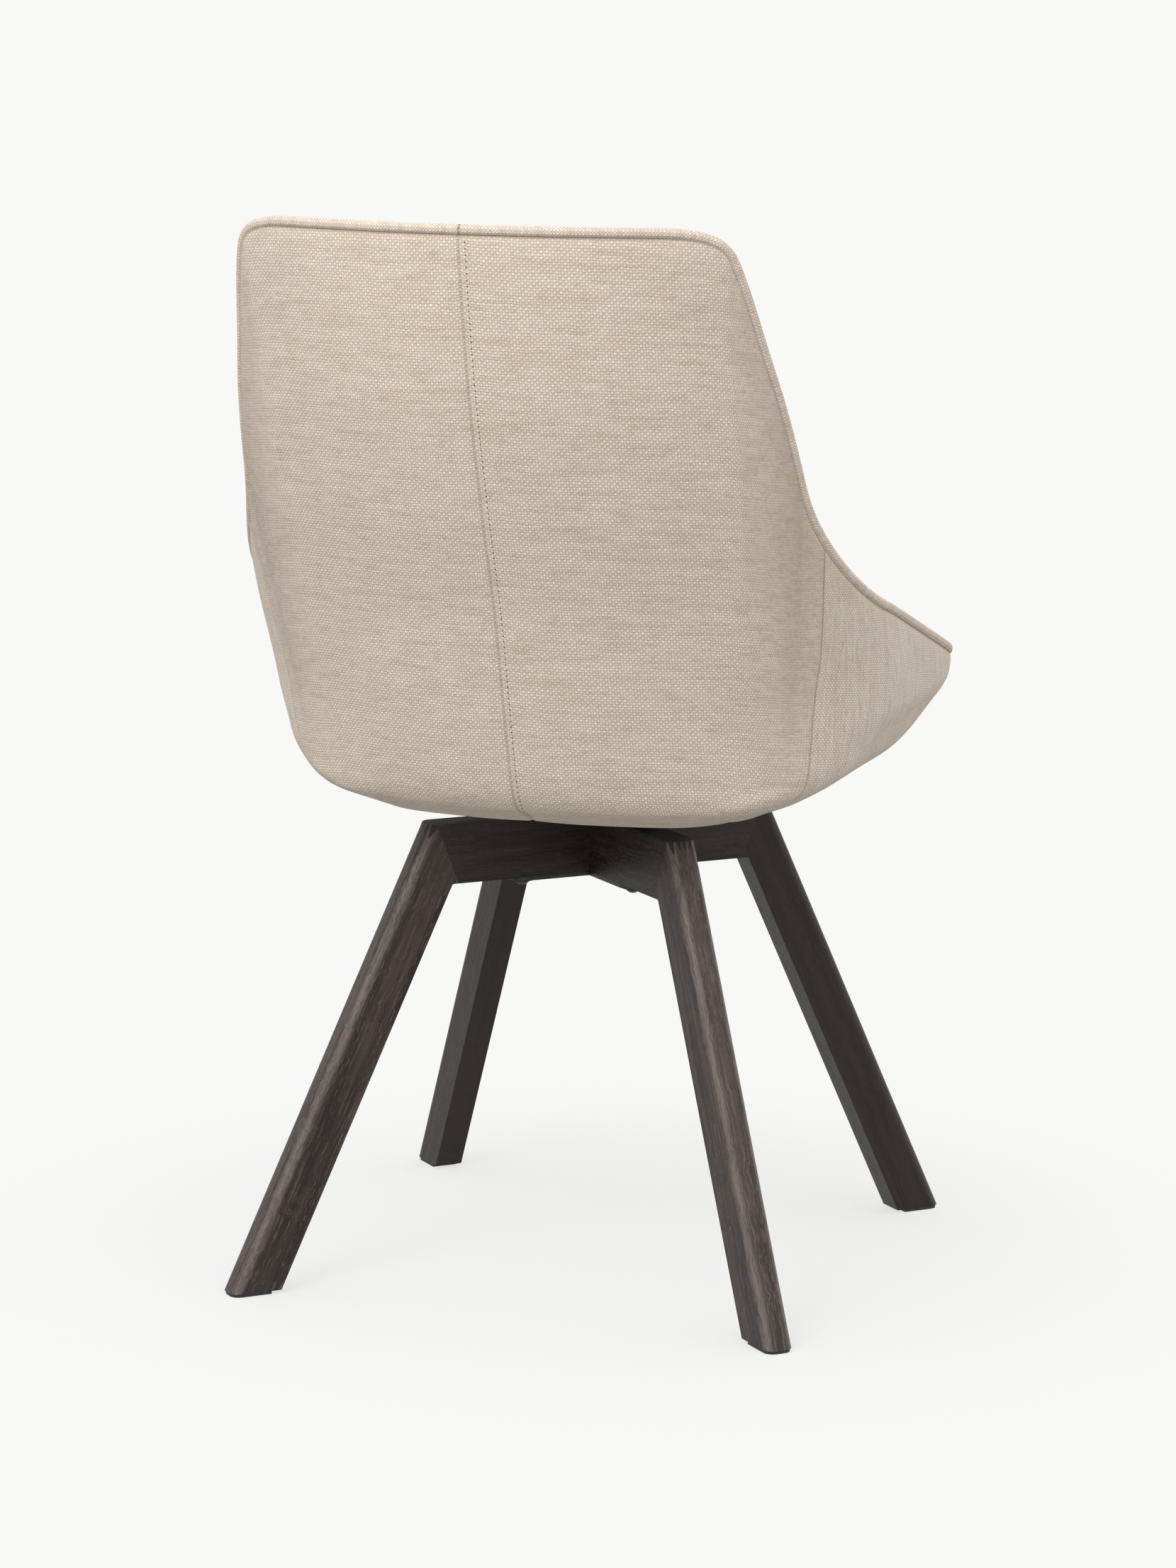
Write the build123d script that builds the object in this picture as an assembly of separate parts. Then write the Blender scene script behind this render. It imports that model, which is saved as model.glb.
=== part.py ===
from build123d import *
from dataclasses import dataclass, fields, replace
from math import atan2, cos, hypot, pi, radians, sin, sqrt, tan
import os

# A swivel dining chair: an upholstered bucket seat on a ball-bearing swivel, carried by four
# splayed wooden legs. Millimetres, +Z up, floor at z = 0, swivel axis on x = y = 0.
# The sitter faces -Y, so the chair's left side is +X and its back is +Y.

# ------------------------------------------------------------------ wooden frame
frame_top = 376.2            # height of the frame's flat top above the floor
rail_depth = 50.0            # height of a rail
wood_thickness = 25.0        # thickness of every rail and leg
leg_width = 42.7             # width of a leg, measured level
leg_reach_top = 155.5        # distance of a leg's outer face from the axis at the frame's top
leg_reach_floor = 332.3      # the same at floor level
outer_edge_radius = 9.0      # rounding of the leg's two outer long edges
inner_corner_radius = 2.0    # softened corner where a rail's underside meets a leg

finger_count = 5             # fingers across the thickness of a mitre
finger_length = 10.0         # length of a finger from root to tip
finger_tip = 0.8             # flat at the tip of a finger

# ------------------------------------------------------------------ feet
glide_height = 2.7           # plastic glide under each leg
glide_margin = 1.2           # step from the foot's outline to the glide's
glide_setback = 8.0          # how far the glide stops short of the foot's inner edge
glide_corner = 8.0           # outer corner radius of a glide
nail_radius = 1.4
nail_length = 17.0
nail_head_radius = 3.4
nail_head_height = 1.2
nail_recess = 1.0            # depth of the nail head below the glide's sole

# ------------------------------------------------------------------ bolts through the frame
bolt_reach = 67.5            # distance of a frame bolt from the axis, one on each rail
bolt_radius = 3.0
bolt_clearance = 0.3         # radial clearance of a bolt hole
bolt_head_radius = 5.25
bolt_head_height = 3.3
bolt_head_slope = 1.8        # height of the sloped edge of a button head
bolt_head_step = 2.4         # how far that edge comes in
socket_width = 4.0           # hexagon socket, across flats
socket_depth = 2.0
washer_radius = 8.2
washer_thickness = 1.5
nut_width = 10.0             # across flats
nut_height = 5.0
bolt_end = 1.5               # thread that stands out of a nut

cross_thickness = 3.0        # steel cross under the rails
cross_width = 24.4
cross_reach = 79.0           # length of a cross arm, to its rounded end

# ------------------------------------------------------------------ swivel
plate_thickness = 3.0        # both swivel plates
base_plate_width = 124.0
base_plate_corner = 16.0
swivel_height = 17.5         # from the frame's top to the top of the upper plate
race_height = 4.6
race_inner_radius = 24.0
race_outer_radius = 40.0
ball_radius = 3.0
ball_count = 16
ball_circle = 32.0           # radius of the circle of ball centres
groove_radius = 3.2          # radius of a race's groove
ball_clearance = 0.05        # from a ball to the bottom of a groove
cage_thickness = 1.2
cage_margin = 5.4            # width of the cage to each side of the ball circle
pocket_clearance = 0.12
pivot_radius = 5.0
pivot_head_radius = 9.0
pivot_head_height = 5.0
pivot_recess_clearance = 2.0  # around and below the pivot's head, in the rails
pivot_fit = 0.05             # radial running clearance of the pivot in its bush
bush_wall = 2.0
bush_flange_radius = 9.5
bush_flange_height = 1.0
pivot_washer_radius = 10.0
pivot_nut_width = 16.0
pivot_nut_height = 8.0
thrust_gap = 0.3             # between the bush's flange and the pivot's washer

top_plate_width = 160.0
top_plate_corner = 18.0
seat_screw_spacing = 130.0   # square pattern of the screws into the seat
screw_thread_length = 15.0
tee_flange_radius = 9.0
tee_flange_height = 1.4
tee_barrel_radius = 4.0

# ------------------------------------------------------------------ seat shell
dust_cover_thickness = 1.0
dust_cover_width = 210.0
dust_cover_corner = 34.0
boss_width = 184.0           # flat pad of the moulded shell that the swivel is screwed to
boss_corner = 24.0
cover_thickness = 4.0        # fabric with its thin foam backing
shell_thickness = 10.0       # moulded shell
layer_gap = 0.3              # between one upholstery layer and the next
cushion_gap = 0.8            # round the seat cushion
welt_gap = 0.9               # between the piping and the upper edge of the covers
pad_thickness = 23.0         # foam lining at the back and sides
front_pad_thickness = 10.0   # foam lining at the front
lining_foot = 9.0            # lower edge of the lining above the bowl's floor
pivot_opening_radius = 20.0  # hole in the shell over the pivot's nut
shell_overrun = 18.5         # how far the walls are drawn past the rim before they are trimmed

rim_height = 481.5           # top of the back above the shell's underside
back_corner_y = 288.0        # where the level top edge and the back's side edge would meet
sweep_y = 155.0              # where the side edge and the arm would meet
sweep_height = 203.0         # its height above the underside
arm_front_y = -172.0         # where the arm starts to drop to the front edge
arm_front_height = 105.5
front_drop_y = -330.0
front_drop_height = 48.0
top_corner_radius = 33.0     # upper corners of the back
sweep_radius = 200.0         # hollow sweep from the back down to the arms
arm_front_radius = 150.0
welt_radius = 3.5            # piping along the whole rim
welt_steps = 40              # circles that draw half of the piping

seam_foot_y = 113.0          # side seam at the underside's turn
seam_foot_height = 24.0
seam_lean = 14.5             # degrees that the side seam leans back
stations_back = (0.0, 50.0, 100.0, 140.0)          # across the back, as distances from the middle
stations_front = (222.0, 190.0, 150.0, 100.0, 50.0, 0.0)
stations_side = (            # stretch of the rim's side view, and how far along it
    (1, 0.3),
    (1, 0.7),
    (2, 0.05),
    (2, 0.35),
    (2, 0.7),
    (3, 0.0),
    (3, 0.2),
    (3, 0.4),
    (3, 0.6),
    (3, 0.8),
    (3, 1.0),
    (4, 0.35),
    (4, 0.68),
    (4, 0.95),
)

least_corner = 20.0          # smallest corner radius of an outline that is moved inwards
front_radius = 460.0         # wide arc across the front of every level outline
seat_level = 4               # the walls above this level and the bowl below it are lofted apart
crown_levels = (             # height above the bowl's floor, inset from the lining
    (-5.0, -8.0),
    (44.0, -8.0),
    (66.0, 2.0),
    (76.0, 12.0),
    (83.0, 34.0),
    (87.0, 80.0),
)


@dataclass(frozen=True)
class Level:
    """A level outline of the bucket: a closed oval of four wide arcs and four corner arcs."""

    height: float            # above the shell's underside
    half_width: float
    back: float              # furthest point towards +Y
    front: float             # furthest point towards -Y
    back_radius: float
    rear_corner: float
    front_corner: float


bucket_levels = (
    Level(0.0, 159.0, 160.0, -126.0, 400.0, 78.0, 113.0),
    Level(5.0, 170.0, 171.5, -135.0, 400.0, 78.0, 115.0),
    Level(17.0, 197.0, 197.0, -156.0, 390.0, 80.0, 116.0),
    Level(39.0, 231.0, 211.0, -203.0, 280.0, 95.0, 108.0),
    Level(89.0, 263.0, 228.0, -260.0, 290.0, 172.0, 86.0),
    Level(169.0, 267.0, 250.0, -271.0, 313.0, 149.0, 85.0),
    Level(269.0, 272.0, 286.5, -286.0, 332.0, 107.0, 87.0),
    Level(369.0, 279.0, 317.5, -303.0, 346.0, 65.0, 93.0),
    Level(rim_height + shell_overrun, 285.0, 343.0, -326.0, 440.0, 30.0, 104.0),
)

# ------------------------------------------------------------------ sizes that follow
rail_bottom = frame_top - rail_depth
splay = (leg_reach_floor - leg_reach_top) / frame_top
cross_bottom = rail_bottom - cross_thickness
base_plate_top = frame_top + plate_thickness
top_plate_top = frame_top + swivel_height
top_plate_bottom = top_plate_top - plate_thickness
ball_height = (base_plate_top + top_plate_bottom) / 2
shell_bottom = top_plate_top + dust_cover_thickness
shell_inset = cover_thickness + layer_gap
lining_inset = shell_inset + shell_thickness + layer_gap
wall_inset = lining_inset + pad_thickness
front_inset = lining_inset + front_pad_thickness
bowl_floor = shell_bottom + lining_inset
cover_drop = 2 * welt_radius + welt_gap
tee_top = bowl_floor - layer_gap
tee_bottom = shell_bottom + cover_thickness

sides = {"left": 1, "right": -1}
corners = {"rear_left": 45, "rear_right": 135, "front_right": 225, "front_left": 315}
far = 1000.0


# ------------------------------------------------------------------ small helpers
def drum(radius, low, high, x=0.0, y=0.0):
    """Upright round bar between two heights."""
    return Pos(x, y, low) * extrude(Circle(radius), high - low)


def hexagon(width, low, high, x=0.0, y=0.0):
    """Upright hexagonal bar, by its width across flats."""
    outline = RegularPolygon(width / 2, 6, major_radius=False)
    return Pos(x, y, low) * extrude(outline, high - low)


def plate(width, corner, low, high):
    """Square plate with round corners."""
    return Pos(0, 0, low) * extrude(RectangleRounded(width, width, corner), high - low)


def frame_places():
    """Axis positions of the four frame bolts, one on each rail."""
    reach = bolt_reach / sqrt(2)
    return [(reach * sx, reach * sy) for sx in (1, -1) for sy in (1, -1)]


def seat_places():
    """Axis positions of the four screws into the seat."""
    half = seat_screw_spacing / 2
    return [(half * sx, half * sy) for sx in (1, -1) for sy in (1, -1)]


def button_screw(x, y, seat, length):
    """Button-head screw pointing up, its head under the height seat."""
    head = drum(bolt_head_radius, seat - bolt_head_height, seat, x, y)
    head = chamfer(head.edges().group_by(Axis.Z)[0], bolt_head_slope, bolt_head_step)
    socket = hexagon(socket_width, seat - bolt_head_height, seat - bolt_head_height + socket_depth, x, y)
    return head + drum(bolt_radius, seat, seat + length, x, y) - socket


def group(solids):
    """Separate equal pieces kept together under one name."""
    return Compound(children=[solid.solid() for solid in solids])


# ------------------------------------------------------------------ wooden frame
def reach_at(height):
    """Distance of a leg's outer face from the axis at a height."""
    return leg_reach_floor - splay * height


def frame_blank():
    """One rail and its leg in one piece, along +X, before the mitre divides them."""
    inner_corner = (reach_at(rail_bottom) - leg_width, rail_bottom)
    outline = Polyline(
        (0, rail_bottom),
        inner_corner,
        (reach_at(glide_height) - leg_width, glide_height),
        (reach_at(glide_height), glide_height),
        (leg_reach_top, frame_top),
        (0, frame_top),
        close=True,
    )
    flat = make_face(Plane.XZ * outline)
    blank = extrude(flat, wood_thickness / 2, both=True)
    outer = [edge for edge in blank.edges() if is_outer_leg_edge(edge)]
    blank = fillet(outer, outer_edge_radius)
    notch = [edge for edge in blank.edges() if is_inner_corner_edge(edge, inner_corner)]
    return fillet(notch, inner_corner_radius) - rail_point_cuts()


def is_outer_leg_edge(edge):
    """True for the two long edges of the leg's outer face."""
    middle = edge.center()
    on_face = abs(middle.X - reach_at(middle.Z)) < 0.01
    return on_face and abs(abs(middle.Y) - wood_thickness / 2) < 0.01


def is_inner_corner_edge(edge, corner):
    """True for the edge where the rail's underside meets the leg."""
    middle = edge.center()
    return hypot(middle.X - corner[0], middle.Z - corner[1]) < 0.01


def rail_point_cuts():
    """Removes both sides of the rail's inner end, so that four rails meet in right-angled points."""
    wedge = Polyline((0, 0), (far, far), (-far, far), (-far, -far), (far, -far), close=True)
    return extrude(make_face(wedge), frame_top + far)


def finger_comb():
    """The leg's side of the mitre: a zigzag across the thickness, drawn along the mitre line."""
    inner = Vector(reach_at(rail_bottom) - leg_width, 0, rail_bottom)
    outer = Vector(leg_reach_top, 0, frame_top)
    along = (outer - inner).normalized()
    pitch = wood_thickness / finger_count
    slope = (pitch - 2 * finger_tip) / 2
    points = [(-finger_length / 2, -wood_thickness)]
    for index in range(-1, finger_count + 1):
        start = index * pitch - wood_thickness / 2
        points.append((-finger_length / 2, start))
        points.append((-finger_length / 2, start + finger_tip))
        points.append((finger_length / 2, start + finger_tip + slope))
        points.append((finger_length / 2, start + 2 * finger_tip + slope))
    points.append((-finger_length / 2, (finger_count + 1) * pitch - wood_thickness / 2))
    points.append((far, (finger_count + 1) * pitch - wood_thickness / 2))
    points.append((far, -wood_thickness))
    unique = [point for index, point in enumerate(points) if point != points[index - 1]]
    into_leg = Vector(along.Z, 0, -along.X)
    section = Plane(origin=inner - along * far, x_dir=into_leg, z_dir=along)
    return extrude(section * make_face(Polyline(*unique, close=True)), 2 * far)


def bolt_hole():
    """Hole for the frame bolt of the rail along +X."""
    return drum(bolt_radius + bolt_clearance, 0, frame_top + far, bolt_reach, 0)


def pivot_recess():
    """Room for the pivot's head in the tops of the rails."""
    depth = pivot_head_height + pivot_recess_clearance
    return drum(pivot_head_radius + pivot_recess_clearance, frame_top - depth, frame_top + far)


def nail_axis_x():
    """Distance of a glide's nail from the axis."""
    outer = reach_at(glide_height) - glide_margin
    inner = reach_at(glide_height) - leg_width + glide_setback
    return (outer + inner) / 2


def frame_parts():
    """A rail and a leg along +X, divided by the finger joint."""
    blank = frame_blank()
    comb = finger_comb()
    pilot = drum(nail_radius, 0, nail_recess + nail_length, nail_axis_x(), 0)
    leg = (blank & comb) - pilot
    rail = blank - comb - bolt_hole() - pivot_recess()
    return rail, leg


def glide():
    """Plastic glide under the leg along +X."""
    outer = reach_at(0) - glide_margin - splay * glide_height
    inner = reach_at(glide_height) - leg_width + glide_setback
    width = wood_thickness - 2 * glide_margin
    outline = Pos((outer + inner) / 2, 0) * Rectangle(outer - inner, width)
    rounded = fillet(outline.vertices().group_by(Axis.X)[-1], glide_corner)
    body = extrude(rounded, glide_height)
    head_room = drum(nail_head_radius, 0, nail_recess + nail_head_height, nail_axis_x(), 0)
    return body - head_room - drum(nail_radius, 0, glide_height, nail_axis_x(), 0)


def glide_nail():
    """Nail that holds the glide along +X."""
    x = nail_axis_x()
    head = drum(nail_head_radius, nail_recess, nail_recess + nail_head_height, x, 0)
    return head + drum(nail_radius, nail_recess, nail_recess + nail_length, x, 0)


# ------------------------------------------------------------------ cross and its bolts
def cross_plate():
    """Flat steel cross under the rails, with round ends."""
    bar = SlotOverall(2 * cross_reach, cross_width)
    outline = Rot(0, 0, 45) * bar + Rot(0, 0, -45) * bar
    body = Pos(0, 0, cross_bottom) * extrude(outline, cross_thickness)
    for x, y in frame_places():
        body -= drum(bolt_radius + bolt_clearance, 0, far, x, y)
    return body


def frame_washer(x, y):
    """Washer between a frame bolt's head and the cross."""
    disc = drum(washer_radius, cross_bottom - washer_thickness, cross_bottom, x, y)
    return disc - drum(bolt_radius + bolt_clearance, 0, far, x, y)


def frame_bolt(x, y):
    """Bolt from under the cross, through a rail, to its nut on the swivel's base plate."""
    seat = cross_bottom - washer_thickness
    return button_screw(x, y, seat, base_plate_top + nut_height + bolt_end - seat)


def frame_nut(x, y):
    """Nut on the swivel's base plate."""
    body = hexagon(nut_width, base_plate_top, base_plate_top + nut_height, x, y)
    return body - drum(bolt_radius, base_plate_top, base_plate_top + nut_height, x, y)


# ------------------------------------------------------------------ swivel
def swivel_base_plate():
    """Lower plate of the swivel, bolted to the frame."""
    body = plate(base_plate_width, base_plate_corner, frame_top, base_plate_top)
    for x, y in frame_places():
        body -= drum(bolt_radius + bolt_clearance, 0, far, x, y)
    return body - drum(pivot_radius, 0, far)


def race(low, high):
    """Ring with a groove for the balls."""
    return drum(race_outer_radius, low, high) - drum(race_inner_radius, low, high)


def ball_groove(offset):
    """Round groove swept by the balls' circle, lifted or lowered by an offset."""
    return Pos(0, 0, ball_height + offset) * Torus(ball_circle, groove_radius)


def lower_race():
    """Race on the base plate."""
    shift = groove_radius - ball_radius - ball_clearance
    return race(base_plate_top, base_plate_top + race_height) - ball_groove(shift)


def upper_race():
    """Race under the top plate."""
    shift = groove_radius - ball_radius - ball_clearance
    return race(top_plate_bottom - race_height, top_plate_bottom) - ball_groove(-shift)


def ball_places():
    """Centres of the balls."""
    turns = [2 * pi * index / ball_count for index in range(ball_count)]
    return [(ball_circle * cos(turn), ball_circle * sin(turn)) for turn in turns]


def bearing_balls():
    """The balls of the swivel."""
    return group([Pos(x, y, ball_height) * Sphere(ball_radius) for x, y in ball_places()])


def ball_cage():
    """Flat ring that keeps the balls apart."""
    low = ball_height - cage_thickness / 2
    high = ball_height + cage_thickness / 2
    ring = drum(ball_circle + cage_margin, low, high) - drum(ball_circle - cage_margin, low, high)
    for x, y in ball_places():
        ring -= drum(ball_radius + pocket_clearance, low, high, x, y)
    return ring


def pivot():
    """Pivot pin, riveted in the base plate, with its head in the rails' recess."""
    head = drum(pivot_head_radius, frame_top - pivot_head_height, frame_top)
    return head + drum(pivot_radius, frame_top, pivot_end())


def washer_bottom():
    """Underside of the pivot's washer."""
    return top_plate_top + bush_flange_height + thrust_gap


def pivot_end():
    """Top of the pivot's thread."""
    return washer_bottom() + washer_thickness + pivot_nut_height + bolt_end


def pivot_bush():
    """Flanged bush in the top plate that runs on the pivot."""
    bore = pivot_radius + pivot_fit
    body = drum(bore + bush_wall, top_plate_bottom, top_plate_top)
    body += drum(bush_flange_radius, top_plate_top, top_plate_top + bush_flange_height)
    return body - drum(bore, 0, far)


def pivot_washer():
    """Washer above the bush."""
    disc = drum(pivot_washer_radius, washer_bottom(), washer_bottom() + washer_thickness)
    return disc - drum(pivot_radius, 0, far)


def pivot_nut():
    """Locking nut that keeps the seat on its pivot."""
    low = washer_bottom() + washer_thickness
    body = hexagon(pivot_nut_width, low, low + pivot_nut_height)
    return body - drum(pivot_radius, 0, far)


def swivel_top_plate():
    """Upper plate of the swivel, screwed to the seat."""
    body = plate(top_plate_width, top_plate_corner, top_plate_bottom, top_plate_top)
    for x, y in seat_places():
        body -= drum(bolt_radius + bolt_clearance, 0, far, x, y)
    return body - drum(pivot_radius + pivot_fit + bush_wall, 0, far)


def seat_screw(x, y):
    """Screw from under the top plate into a tee nut in the shell."""
    return button_screw(x, y, top_plate_bottom, screw_thread_length)


def tee_nut(x, y):
    """Flanged threaded insert, let into the shell from inside."""
    flange = drum(tee_flange_radius, tee_top - tee_flange_height, tee_top, x, y)
    barrel = drum(tee_barrel_radius, tee_bottom, tee_top, x, y)
    return flange + barrel - drum(bolt_radius, 0, far, x, y)


# ------------------------------------------------------------------ bucket walls
def oval(level):
    """Face of a level outline: wide arcs joined by tangent corner arcs and straight sides."""
    turn_rear = (level.half_width - level.rear_corner) / (level.back_radius - level.rear_corner)
    turn_front = (level.half_width - level.front_corner) / (front_radius - level.front_corner)
    rear_y = level.back - level.back_radius + (level.back_radius - level.rear_corner) * sqrt(1 - turn_rear**2)
    front_y = level.front + front_radius - (front_radius - level.front_corner) * sqrt(1 - turn_front**2)
    rear = corner_points(level.half_width, rear_y, level.rear_corner, turn_rear, 1)
    front = corner_points(level.half_width, front_y, level.front_corner, turn_front, -1)
    edges = [arc(mirrored(rear[0]), (0, level.back), rear[0])]
    edges.append(arc(rear[0], rear[1], rear[2]))
    edges.append(straight(rear[2], front[2]))
    edges.append(arc(front[2], front[1], front[0]))
    edges.append(arc(front[0], (0, level.front), mirrored(front[0])))
    edges.append(arc(mirrored(front[0]), mirrored(front[1]), mirrored(front[2])))
    edges.append(straight(mirrored(front[2]), mirrored(rear[2])))
    edges.append(arc(mirrored(rear[2]), mirrored(rear[1]), mirrored(rear[0])))
    return Pos(0, 0, shell_bottom + level.height) * Face(Wire(edges))


def corner_points(half_width, centre_y, radius, turn, way):
    """Start, middle and end of a corner arc, from the wide arc round to the side."""
    start = atan2(turn, sqrt(1 - turn**2))
    angles = (start, (start + pi / 2) / 2, pi / 2)
    centre_x = half_width - radius
    return [(centre_x + radius * sin(angle), centre_y + way * radius * cos(angle)) for angle in angles]


def mirrored(point):
    """The same point on the chair's other side."""
    return (-point[0], point[1])


def arc(start, middle, end):
    """Level arc through three points."""
    return Edge.make_three_point_arc(start, middle, end)


def straight(start, end):
    """Level straight edge."""
    return Edge.make_line(start, end)


def inset_level(index, inset, front, floor_gap=0.0):
    """A level outline moved inwards square to the wall, by a wall inset and a front inset."""
    level = bucket_levels[index]
    above = bucket_levels[min(index + 1, len(bucket_levels) - 1)]
    below = bucket_levels[max(index - 1, 0)]
    rise = above.height - below.height
    run = above.half_width - below.half_width
    upright = rise / hypot(rise, run)
    flat = 1.0 if index == 0 else max(run / hypot(rise, run), 0.0)
    lift = min(inset, lining_inset) * flat
    return replace(
        level,
        height=level.height + lift + floor_gap,
        half_width=level.half_width - inset * upright,
        back=level.back - inset * upright,
        front=level.front + front * upright,
        back_radius=level.back_radius - inset,
        rear_corner=max(level.rear_corner - inset * upright, least_corner),
        front_corner=level.front_corner - front * upright,
    )


def tub(inset, front=None, floor_gap=0.0):
    """Solid form of the bucket, moved inwards by an inset and drawn past the rim."""
    front_inset_here = inset if front is None else front
    levels = [inset_level(index, inset, front_inset_here, floor_gap) for index in range(len(bucket_levels))]
    outlines = [oval(level) for level in levels]
    return loft(outlines[: seat_level + 1]) + loft(outlines[seat_level:])


def rim_points():
    """Corners of the rim's side view, from behind the back to below the front, as (y, z)."""
    return (
        (bucket_levels[-1].back + far, shell_bottom + rim_height),
        (back_corner_y, shell_bottom + rim_height),
        (sweep_y, shell_bottom + sweep_height),
        (arm_front_y, shell_bottom + arm_front_height),
        (front_drop_y, shell_bottom + front_drop_height),
    )


def rim_curve():
    """The rim's side view as one line with round corners, drawn with y across and z up."""
    radii = [top_corner_radius, sweep_radius, arm_front_radius]
    return FilletPolyline(*rim_points(), radius=radii)


def below_rim(drop):
    """Everything under the rim's side view, lowered by a drop measured square to the edge."""
    points = rim_points()
    rest = Polyline(points[-1], (points[-1][0], -far), (points[0][0], -far), points[0])
    region = offset(make_face(rim_curve() + rest), -drop, kind=Kind.INTERSECTION)
    return extrude(Plane.YZ * region, far, both=True)


def wall(outer, inner, drop, inner_front=None):
    """Wall of the bucket between two insets, trimmed below the rim."""
    return (tub(outer) - tub(inner, inner_front)) & below_rim(drop)


def behind_seam():
    """Everything behind the side seams."""
    foot = (seam_foot_y, shell_bottom + seam_foot_height)
    lean = tan(radians(seam_lean))
    low = (foot[0] - lean * far, foot[1] - far)
    high = (foot[0] + lean * far, foot[1] + far)
    outline = Polyline(low, high, (2 * far, high[1]), (2 * far, low[1]), close=True)
    return extrude(make_face(Plane.YZ * outline), far, both=True)


def half(side):
    """Everything on one side of the chair."""
    return Pos(side * far / 2, 0, 0) * Box(far, 4 * far, 4 * far)


def boss(clearance=0.0):
    """Flat pad under the shell, which the swivel is screwed to."""
    width = boss_width + 2 * clearance
    return plate(width, boss_corner + clearance, shell_bottom, shell_bottom + shell_inset + shell_thickness / 2)


def seat_shell():
    """Moulded shell with its flat pad, a hole over the pivot and seats for the tee nuts."""
    body = wall(shell_inset, shell_inset + shell_thickness, cover_drop) + boss()
    body -= drum(pivot_opening_radius, 0, bowl_floor + shell_thickness)
    for x, y in seat_places():
        body -= drum(bolt_radius + bolt_clearance, 0, bowl_floor, x, y)
        body -= drum(tee_barrel_radius, tee_bottom, bowl_floor, x, y)
        body -= drum(tee_flange_radius, tee_top - tee_flange_height, bowl_floor, x, y)
    return body


def outer_covers():
    """Fabric over the outside, sewn of two back panels and two side panels."""
    skin = wall(0.0, cover_thickness, cover_drop) - boss(layer_gap)
    rear = skin & behind_seam()
    sides_part = skin - behind_seam()
    covers = {}
    for name, side in sides.items():
        covers["back_cover_" + name] = rear & half(side)
        covers["side_cover_" + name] = sides_part & half(side)
    return covers


def inner_lining():
    """Padded lining of the inside: a back pad and two side pads."""
    pad = wall(lining_inset, wall_inset, layer_gap, front_inset)
    pad -= Pos(0, 0, bowl_floor - far / 2 + lining_foot) * Box(far, far, far)
    front = pad - behind_seam()
    parts = {"inner_back_pad": pad & behind_seam()}
    for name, side in sides.items():
        parts["inner_side_pad_" + name] = front & half(side)
    return parts


def level_at(height):
    """Outline of the lining's inside at a height above the underside, between two levels."""
    levels = [inset_level(index, wall_inset, front_inset) for index in range(len(bucket_levels))]
    above = max(1, next(index for index, level in enumerate(levels) if level.height > height))
    low, high = levels[above - 1], levels[above]
    share = (height - low.height) / (high.height - low.height)
    mixed = {field.name: between(low, high, field.name, share) for field in fields(Level)}
    return replace(Level(**mixed), height=height)


def between(low, high, name, share):
    """One size of a level outline, part of the way from one level to the next."""
    return getattr(low, name) + (getattr(high, name) - getattr(low, name)) * share


def crown_outline(rise, inset):
    """Outline of the crown's form at a height above the bowl's floor, inset from the lining."""
    level = level_at(lining_inset + rise)
    drawn_in = replace(
        level,
        half_width=level.half_width - inset,
        back=level.back - inset,
        front=level.front + inset,
        back_radius=level.back_radius - inset,
        rear_corner=max(level.rear_corner - inset, least_corner),
        front_corner=max(level.front_corner - inset, least_corner),
    )
    return oval(drawn_in)


def seat_cushion():
    """Seat cushion: it fills the bowl inside the lining, turns in below and has a crowned top."""
    sections = [crown_outline(rise, inset) for rise, inset in crown_levels]
    crown = loft(sections[:2]) + loft(sections[1:])
    return tub(wall_inset + cushion_gap, front_inset + cushion_gap, layer_gap) & crown


def dust_cover():
    """Black cloth under the seat, between the shell's pad and the swivel."""
    cloth = plate(dust_cover_width, dust_cover_corner, top_plate_top, shell_bottom)
    for x, y in seat_places():
        cloth -= drum(bolt_radius + bolt_clearance, 0, far, x, y)
    return cloth - drum(pivot_opening_radius, 0, far)


# ------------------------------------------------------------------ piping
def side_places():
    """Places of the piping's centre line in side view, along the chair's side, as (y, z)."""
    edges = rim_curve().edges().sort_by(Axis.X, reverse=True)
    places = []
    for index, share in stations_side:
        edge = edges[index]
        way = edge.tangent_at(share)
        if way.X > 0:
            share = 1 - share
            way = edge.tangent_at(share) * -1
        place = edge.position_at(share) + Vector(-way.Y, way.X) * welt_radius
        places.append((place.X, place.Y))
    return places


def wall_point(form, start, way):
    """Where a line from inside the bucket leaves its wall."""
    hits = form.shell().find_intersection_points(Axis(start, way))
    return max((hit[0] for hit in hits), key=lambda point: point.dot(Vector(*way)))


def front_place(form, x):
    """Place of the piping's centre line on the front edge, at a distance from the middle."""
    points = rim_points()
    slope = (points[-2][1] - points[-1][1]) / (points[-2][0] - points[-1][0])
    y = points[-2][0]
    for _ in range(4):
        z = points[-2][1] + slope * (y - points[-2][0]) - welt_radius * sqrt(1 + slope**2)
        y = wall_point(form, (x, 0, z), (0, -1, 0)).Y
    return Vector(x, y, z)


def welt_centres():
    """Centre line of the piping on the chair's left side, from the back round to the front."""
    form = tub(welt_radius)
    top = shell_bottom + rim_height - welt_radius
    centres = [wall_point(form, (x, 0, top), (0, 1, 0)) for x in stations_back]
    centres += [wall_point(form, (0, y, z), (1, 0, 0)) for y, z in side_places()]
    return centres + [front_place(form, x) for x in stations_front]


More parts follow.
